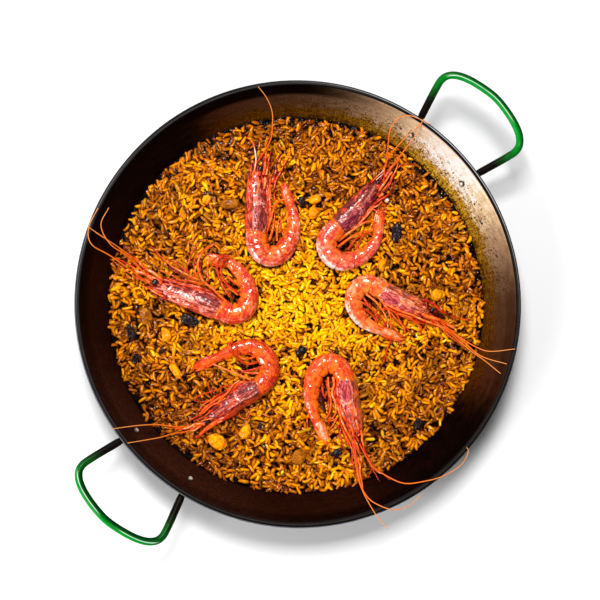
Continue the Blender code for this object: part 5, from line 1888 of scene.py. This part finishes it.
@dataclass
class Morsels:
    """The squid chunks and dark scraps, and small dark flecks in the rice."""

    rest: float = 0.0142  # height of the rice's surface
    seed: int = 300
    fleck_seed: int = 400
    sunk: float = 0.0002  # how deep the flecks lie in the rice
    squid: tuple[Morsel, ...] = (
        Morsel("squid_1", (-0.103, 0.067), 0.014, 0.009, 0.007, 55),
        Morsel("squid_2", (-0.121, 0.038), 0.016, 0.007, 0.006, 80),
        Morsel("squid_3", (0.011, 0.126), 0.009, 0.008, 0.006, 10),
        Morsel("squid_4", (0.080, 0.055), 0.012, 0.009, 0.007, -40),
        Morsel("squid_5", (-0.141, -0.033), 0.019, 0.013, 0.007, 100),
        Morsel("squid_6", (-0.117, -0.045), 0.015, 0.011, 0.006, 30),
        Morsel("squid_7", (0.094, -0.087), 0.012, 0.011, 0.007, 0),
        Morsel("squid_8", (0.079, -0.031), 0.012, 0.007, 0.006, 40),
        Morsel("squid_12", (0.070, 0.047), 0.012, 0.010, 0.007, 20),
    )
    brown: tuple[Morsel, ...] = (
        Morsel("squid_9", (0.023, 0.108), 0.019, 0.010, 0.006, -45),
        Morsel("squid_10", (-0.104, 0.092), 0.017, 0.011, 0.006, 70),
        Morsel("squid_11", (-0.100, -0.096), 0.016, 0.013, 0.006, 15),
    )
    scraps: tuple[Morsel, ...] = (
        Morsel("scrap_1", (-0.079, 0.061), 0.018, 0.009, 0.006, -70),
        Morsel("scrap_2", (-0.124, 0.090), 0.011, 0.007, 0.005, 60),
        Morsel("scrap_3", (-0.138, 0.072), 0.010, 0.006, 0.005, 20),
        Morsel("scrap_4", (0.070, 0.062), 0.010, 0.006, 0.005, 50),
        Morsel("scrap_5", (0.111, -0.020), 0.018, 0.010, 0.006, 35),
        Morsel("scrap_6", (-0.029, -0.032), 0.011, 0.007, 0.005, -20),
        Morsel("scrap_7", (-0.074, -0.119), 0.009, 0.008, 0.005, 0),
        Morsel("scrap_8", (-0.004, -0.155), 0.012, 0.008, 0.005, 30),
    )
    flecks: tuple[Morsel, ...] = (
        Morsel("fleck_1", (-0.116, 0.031), 0.007, 0.004, 0.003, 20),
        Morsel("fleck_2", (-0.150, 0.036), 0.009, 0.003, 0.003, 70),
        Morsel("fleck_3", (-0.092, 0.007), 0.007, 0.005, 0.003, 0),
        Morsel("fleck_4", (-0.007, -0.055), 0.008, 0.005, 0.003, 40),
        Morsel("fleck_5", (-0.123, -0.028), 0.008, 0.005, 0.003, 10),
        Morsel("fleck_6", (-0.089, -0.047), 0.009, 0.005, 0.003, 80),
        Morsel("fleck_7", (-0.105, -0.051), 0.008, 0.006, 0.003, 30),
        Morsel("fleck_8", (0.071, 0.059), 0.006, 0.004, 0.003, 10),
        Morsel("fleck_9", (-0.122, 0.095), 0.008, 0.005, 0.003, 50),
        Morsel("fleck_10", (-0.116, 0.060), 0.007, 0.005, 0.003, 15),
    )
    squid_finish: MorselFinish = MorselFinish(
        "squid", light=(1.0, 0.42, 0.003), dark=(0.72, 0.15, 0.001), streaks=0.35, roughness=0.32,
        fleck=(1.0, 0.60, 0.03),
    )
    brown_finish: MorselFinish = MorselFinish(
        "sauced_squid", light=(0.48, 0.14, 0.004), dark=(0.18, 0.035, 0.001), streaks=0.35, roughness=0.3,
        fleck=(0.90, 0.42, 0.06),
    )
    scrap_finish: MorselFinish = MorselFinish(
        "dark_scrap", light=(0.010, 0.007, 0.008), dark=(0.030, 0.012, 0.010), streaks=0.35, roughness=0.2
    )
    fleck_finish: MorselFinish = MorselFinish(
        "dark_fleck", light=(0.016, 0.008, 0.006), dark=(0.05, 0.02, 0.01), streaks=0.2
    )

    def all_on_top(self) -> tuple[Morsel, ...]:
        """Every chunk that keeps the grains from under it."""
        return self.squid + self.brown + self.scraps

    def build(self) -> list[Piece]:
        """Makes the chunks, each a piece, and the flecks as one.

        Returns:
            The pieces.
        """
        groups = (
            (self.squid, self.squid_finish, "squid"),
            (self.brown, self.brown_finish, "squid"),
            (self.scraps, self.scrap_finish, "dark_scrap"),
        )
        pieces = []
        for group, finish, slot in groups:
            material = finish.material()
            for morsel in group:
                flesh = morsel.patch(self.rest, self.seed + 1 + len(pieces))
                pieces.append(add_piece(f"{morsel.name}_flesh", flesh, material, slot, morsel.name))
        level = self.rest - self.sunk
        flecks = together([each.patch(level, self.fleck_seed + k) for k, each in enumerate(self.flecks)])
        return pieces + [add_piece("dark_flecks", flecks, self.fleck_finish.material(), "dark_scrap")]


# Rice


@dataclass
class RiceBed:
    """The rice: an amber core with a black edge, under two layers of loose grains."""

    pan: Pan
    prawns: tuple[Prawn, ...]
    morsels: tuple[Morsel, ...]
    top: float = 0.0134  # of the core
    gap: float = 0.0003  # between the rice and the pan
    grain: tuple[float, float, float] = (0.0088, 0.0031, 0.0027)  # length, width and thickness
    layers: tuple[tuple[float, float, float], ...] = (  # height, millimetres apart, spread of heights
        (0.0134, 4.55, 0.0005), (0.0150, 4.65, 0.0009),
    )
    edge: float = 0.1722  # radius
    kinds: int = 5  # pieces that the grains are shared out among
    seed: int = 7
    rounds: int = 26  # of pushing apart
    give: float = 0.35  # share of an overlap that a round undoes
    disc: float = 0.72  # of a grain's width
    crowd: int = 6  # the most discs that a cell of the search grid holds
    margin: float = 0.02  # of the search grid round the rice
    clearance: tuple[float, float] = (-0.0035, 0.0002)  # of each layer from what lies on the rice
    broken: float = 0.18  # share of the grains
    short: tuple[float, float] = (0.5, 0.75)  # their lengths, as shares of the usual one
    whole: tuple[float, float] = (0.82, 1.2)  # the others' lengths
    widths: tuple[float, float] = (0.78, 1.26)
    thicknesses: tuple[float, float] = (0.80, 1.22)
    plumper: float = 0.24  # how much wider one end can be
    bow: float = 0.17  # how far a grain can bend, as a share of its length
    tilts: tuple[float, float] = (0.22, 0.32)  # spread of each layer's tilts, in radians
    tone: float = 0.445  # of the outer grains
    golden: float = 0.345  # added to it in the middle
    lower: float = 0.18  # how much darker the lower layer is, as painted shade

    def bed(self) -> Patch:
        """The core: a disc whose top is relief of grain size, filling the pan's corner below it.

        Returns:
            The skin.
        """
        centre = self.pan.corner_centre()
        down = -math.pi / 2
        floor = np.linspace(self.pan.hub, centre[0], 6)[:-1]
        under = np.column_stack([floor, np.full(5, self.pan.sheet + self.gap)])
        corner = arc(centre, self.pan.corner - self.gap, down, down + self.pan.slope, 8)
        wall_top = np.array([[self.pan.wall_radius(self.top + 0.0008, self.gap), self.top + 0.0008]])
        inward = np.linspace(self.pan.wall_radius(self.top, 0.0008), 0.002, 110)
        line = np.vstack([under, corner, wall_top, np.column_stack([inward, np.full(110, self.top)])])
        rings = lathe(line, self.pan.steps)
        relief = ripple(rings * LEVEL, 0.0055, 3) * 0.0005 + ripple(rings, 0.03, 4) * 0.0003
        rings[..., 2] += relief * smooth(rings[..., 2], self.top - 0.0005, self.top)
        return tubes(rings)

    def scatter(self, spacing: float, draw: np.random.Generator) -> tuple[Array, Array]:
        """Places and headings of one layer's grains, pushed apart until they only just touch.

        Each grain is three discs on its long axis. In each round every pair of discs from two grains
        that overlap moves them apart by a share of the overlap, and turns them by its moment.

        Args:
            spacing: millimetres between the grains at the start.
            draw: the random numbers.

        Returns:
            (n, 2) places and (n,) headings.
        """
        step = spacing * MM
        reach = int(self.edge / step) + 2
        rows = int(reach / math.sqrt(0.75)) + 2
        i, j = np.meshgrid(np.arange(-reach, reach + 1), np.arange(-rows, rows + 1), indexing="ij")
        place = np.stack([i + 0.5 * (j % 2), j * math.sqrt(0.75)], -1).reshape(-1, 2) * step
        place += draw.uniform(-0.45, 0.45, place.shape) * step
        place = place[np.hypot(*place.T) < self.edge - 0.001]
        heading = draw.uniform(0, math.pi, len(place))
        length, width, _ = self.grain
        gap = (length - width) / 2
        size = width * self.disc
        shifts = np.array([-gap, 0.0, gap])
        cells = int(2 * (self.edge + self.margin) / size) + 3
        for _ in range(self.rounds):
            way = np.stack([np.cos(heading), np.sin(heading)], -1)
            discs = (place[:, None] + way[:, None] * shifts[None, :, None]).reshape(-1, 2)
            owner = np.repeat(np.arange(len(place)), 3)
            column = np.floor((discs + self.edge + self.margin) / size).astype(int) + 1
            cell = column[:, 0] * cells + column[:, 1]
            order = np.argsort(cell, kind="stable")
            rank = np.arange(len(cell)) - np.searchsorted(cell[order], cell[order])
            table = np.full((cells * cells, self.crowd), -1)
            keep = rank < self.crowd
            table[cell[order][keep], rank[keep]] = order[keep]
            push = np.zeros_like(discs)
            for offset in (a * cells + b for a in (-1, 0, 1) for b in (-1, 0, 1)):
                other = table[np.clip(cell + offset, 0, cells * cells - 1)]
                away = discs[:, None] - discs[other]
                distance = np.maximum(np.hypot(away[..., 0], away[..., 1]), 1e-7)
                apart = (other >= 0) & (owner[other] != owner[:, None])
                overlap = np.where(apart, size - distance, 0).clip(0)
                push += (away / distance[..., None] * overlap[..., None]).sum(1)
            push = push.reshape(-1, 3, 2) * self.give
            place = place + push.mean(1)
            moment = (way[:, None, 0] * push[..., 1] - way[:, None, 1] * push[..., 0]) * shifts
            heading = heading + moment.sum(1) / (2 * gap * gap) * 0.8
            radius = np.hypot(*place.T)
            place *= np.minimum(1, (self.edge - 0.0005) / np.maximum(radius, 1e-9))[:, None]
        return place, heading

    def grains(self, layer: int, draw: np.random.Generator) -> tuple[Array, Array]:
        """One layer's grains, kept off what lies on the rice and out of the pits in it.

        A grain's section is an ellipse. Its width along the grain is the square root of 1 - t^6, a
        little plumper at one end, and its axis bows sideways as t^2.

        Args:
            layer: which layer.
            draw: the random numbers.

        Returns:
            (n, rings, sides, 3) rings and (n, rings, sides) tones, with painted light on top and painted
            shade at the tips.
        """
        height, spacing, jitter = self.layers[layer]
        place, heading = self.scatter(spacing, draw)
        clear = np.full(len(place), 1.0)
        for prawn in self.prawns:
            clear = np.minimum(clear, prawn.covers(place))
        for morsel in self.morsels:
            half = (morsel.length + morsel.width) / 4
            clear = np.minimum(clear, np.hypot(*(place - morsel.place).T) - half)
        keep = clear > self.clearance[layer]
        bearing = np.arctan2(place[:, 1], place[:, 0])
        bare = 0.0012 * np.exp(-((bearing + 0.35) / 0.55) ** 2)
        keep &= np.hypot(*place.T) < self.edge - bare - draw.uniform(0, 0.0022, len(place))
        flat = np.column_stack([place, 0 * heading])
        hollow = ripple(flat, 0.0058, 31)
        pits = ripple(flat, 0.0042, 33)
        spread = smooth(np.hypot(*place.T), 0.06, 0.12)
        keep &= hollow < 0.57 - 0.12 * spread + draw.normal(0, 0.08, len(place))
        keep &= pits < 0.68 - 0.10 * spread
        place, heading, bearing = place[keep], heading[keep], bearing[keep]
        count = len(place)
        t = np.array([-0.975, -0.76, -0.27, 0.27, 0.76, 0.975])
        lean = draw.uniform(-self.plumper, self.plumper, count)
        cosine, sine = around(6)
        profile = (np.sqrt(1 - t**6) * (1 + lean[:, None] * t))[:, :, None]
        profile = profile * draw.uniform(0.86, 1.12, (count, 6, 6))
        broken = draw.random(count) < self.broken
        length = np.where(broken, draw.uniform(*self.short, count), draw.uniform(*self.whole, count))
        length = self.grain[0] * length
        width = self.grain[1] * draw.uniform(*self.widths, count)
        thick = self.grain[2] * draw.uniform(*self.thicknesses, count)
        bow = draw.uniform(-self.bow, self.bow, count)
        tilt = draw.normal(0, self.tilts[layer], count)
        shape = np.stack([
            t[None, :, None] * length[:, None, None] / 2 + 0 * cosine,
            (t**2 - 0.4)[None, :, None] * (bow * length)[:, None, None]
            + profile * cosine * width[:, None, None] / 2,
            profile * sine * thick[:, None, None] / 2,
        ], -1)
        x = shape[..., 0] * np.cos(tilt)[:, None, None] - shape[..., 2] * np.sin(tilt)[:, None, None]
        z = shape[..., 0] * np.sin(tilt)[:, None, None] + shape[..., 2] * np.cos(tilt)[:, None, None]
        turn_cos, turn_sin = np.cos(heading)[:, None, None], np.sin(heading)[:, None, None]
        swell = 0.0004 * ripple(np.column_stack([place, 0 * heading]), 0.05, 8)
        lift = height + draw.normal(0, jitter, count) + swell
        rings = np.stack([
            place[:, 0, None, None] + x * turn_cos - shape[..., 1] * turn_sin,
            place[:, 1, None, None] + x * turn_sin + shape[..., 1] * turn_cos,
            lift[:, None, None] + z,
        ], -1)
        away = np.hypot(rings[..., 0], rings[..., 1])
        rings[..., :2] *= np.minimum(1, self.pan.wall_radius(rings[..., 2], self.gap) / away)[..., None]
        # painted light on each grain's top, painted shade on its underside and at its tips
        shade = 0.28 * sine[None, None, :] - 0.14 * np.abs(t)[None, :, None] - 0.04
        return rings, self.tones(place, bearing, layer, draw)[:, None, None] + shade

    def tones(self, place: Array, bearing: Array, layer: int, draw: np.random.Generator) -> Array:
        """How bright each grain is: yellow in the middle, amber outside and brown in scorched patches.

        The middle is exp(-(r/w)^2). The scorched sides are such bells of the bearing.

        Args:
            place: (n, 2) places.
            bearing: their angles from +X.
            layer: which layer.
            draw: the random numbers.

        Returns:
            Tones from 0 to 1.
        """
        flat = np.column_stack([place, 0 * bearing])
        radius = np.hypot(*place.T)
        middle = np.exp(-((radius / 0.085) ** 2))
        patches = ripple(flat, 0.075, 21) * 0.07 + ripple(flat, 0.028, 22) * 0.05
        brown = 0.10 * np.exp(-((bearing - 0.55) / 0.9) ** 2)
        brown = brown + 0.17 * np.exp(-((np.abs(bearing) - math.pi) / 0.5) ** 2)
        brown *= smooth(radius, 0.07, 0.13)
        spread = draw.normal(0, 1, len(place)) * (0.125 + 0.04 * middle)
        tone = self.tone + self.golden * middle + patches - brown + spread
        return np.clip(tone - (0.0 if layer else self.lower), 0.02, 0.98)

    def build(self) -> list[Piece]:
        """Makes the core and the grains, which are shared out among pieces by tone.

        Returns:
            The pieces.
        """
        pieces = [add_piece("rice_bed", self.bed(), BedFinish().material(), "rice", "rice")]
        draw = np.random.default_rng(self.seed)
        made = [self.grains(layer, draw) for layer in range(len(self.layers))]
        rings = np.concatenate([each[0] for each in made])
        tones = np.concatenate([each[1] for each in made])
        order = np.argsort(tones.mean((1, 2)))
        material = GrainFinish().material()
        for number, share in enumerate(np.array_split(order, self.kinds), 1):
            share = np.sort(share)
            patch = tubes(rings[share], {"tone": tones[share]})
            pieces.append(add_piece(f"rice_grains_{number}", patch, material, "rice", "rice"))
        return pieces


# Studio


@dataclass(frozen=True)
class Lamp:
    """A square soft light that faces the pan."""

    name: str
    aside: float  # its direction's part towards the picture's right
    above: float  # and towards the picture's top
    rise: float  # degrees above the floor
    distance: float  # from the pan's middle
    size: float  # side of the square
    watts: float

    def build(self) -> None:
        """Makes the light."""
        right, up, _ = VIEW.axes()
        plan = unit(right * self.aside * LEVEL + up * self.above * LEVEL)
        angle = math.radians(self.rise)
        way = plan * math.cos(angle) + UP * math.sin(angle)
        data = bpy.data.lights.new(self.name, "AREA")
        data.energy = self.watts
        data.size = self.size
        lamp = bpy.data.objects.new(self.name, data)
        side = unit(np.cross(UP, way))
        lamp.matrix_world = pose(side, np.cross(way, side), way, way * self.distance)
        bpy.context.scene.collection.objects.link(lamp)


@dataclass
class Studio:
    """Pale floor, soft lights and the photograph's camera."""

    radii: tuple[float, float, float] = (6.0, 3.0, 0.02)  # the floor's rings
    sides: int = 96
    below: float = 0.0003  # how far the floor lies under the pan
    pale: Colour = (0.965, 0.965, 0.965)
    dull: Colour = (0.86, 0.86, 0.86)
    sky: float = 0.13
    lamps: tuple[Lamp, ...] = (
        Lamp("key", aside=-1.0, above=-0.62, rise=33, distance=1.7, size=0.65, watts=19),
        Lamp("top", aside=-0.25, above=1.0, rise=63, distance=1.9, size=0.70, watts=38),
    )

    def add_floor(self) -> None:
        """Makes the floor: rings of quads round a fan."""
        rings = lathe(np.array([[radius, 0.0] for radius in self.radii]), self.sides)[0]
        points = np.concatenate([rings.reshape(-1, 3), [[0, 0, 0]]]) - UP * self.below
        here = np.arange(self.sides)
        after = (here + 1) % self.sides
        rows = np.arange(2)[:, None] * self.sides
        corners = [rows + here, rows + after, rows + self.sides + after, rows + self.sides + here]
        quads = np.stack(corners, -1).reshape(-1, 4)
        fan = np.stack([2 * self.sides + here, 2 * self.sides + after, 0 * here + 3 * self.sides], 1)
        mesh = bpy.data.meshes.new("floor")
        mesh.from_pydata(points.tolist(), [], quads.tolist() + fan.tolist())
        graph = Graph("floor_paint")
        tint = graph.blend(graph.noise(graph.place(), 3, 2) * 0.03, self.pale, self.dull)
        mesh.materials.append(graph.surface(Base_Color=tint, Roughness=0.9))
        floor = bpy.data.objects.new("floor", mesh)
        bpy.context.scene.collection.objects.link(floor)

    def build(self) -> None:
        """Makes the floor, the lights and the camera, and sets plain colour management."""
        self.add_floor()
        for lamp in self.lamps:
            lamp.build()
        world = bpy.data.worlds.new("pale_sky")
        world.use_nodes = True
        background = world.node_tree.nodes["Background"]
        background.inputs["Strength"].default_value = self.sky
        background.inputs["Color"].default_value = (1, 1, 1, 1)
        scene = bpy.context.scene
        scene.world = world
        scene.view_settings.view_transform = "Standard"
        scene.view_settings.look = "None"
        VIEW.add_camera()


def report(pieces: list[Piece]) -> None:
    """Logs finished pieces and the size of their meshes."""
    for piece in pieces:
        LOG.info("%s: %d points, %d faces", piece.name, len(piece.data.vertices), len(piece.data.polygons))


def main() -> None:
    """Builds every sub-assembly in order and reports its pieces."""
    logging.basicConfig(level=logging.INFO, format="%(name)s: %(message)s")
    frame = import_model()
    LOG.info("solids to dress: %d", len(frame["nodes"]))
    pan = Pan()
    report(pan.build())
    report(Fittings(pan).build())
    limb, whisker, eye = LimbFinish().material(), WhiskerFinish().material(), EyeFinish().material()
    for prawn in PRAWNS:
        report(prawn.build(limb, whisker, eye))
    morsels = Morsels()
    report(morsels.build())
    report(RiceBed(pan, PRAWNS, morsels.all_on_top()).build())
    Studio().build()


if __name__ == "__main__":
    main()
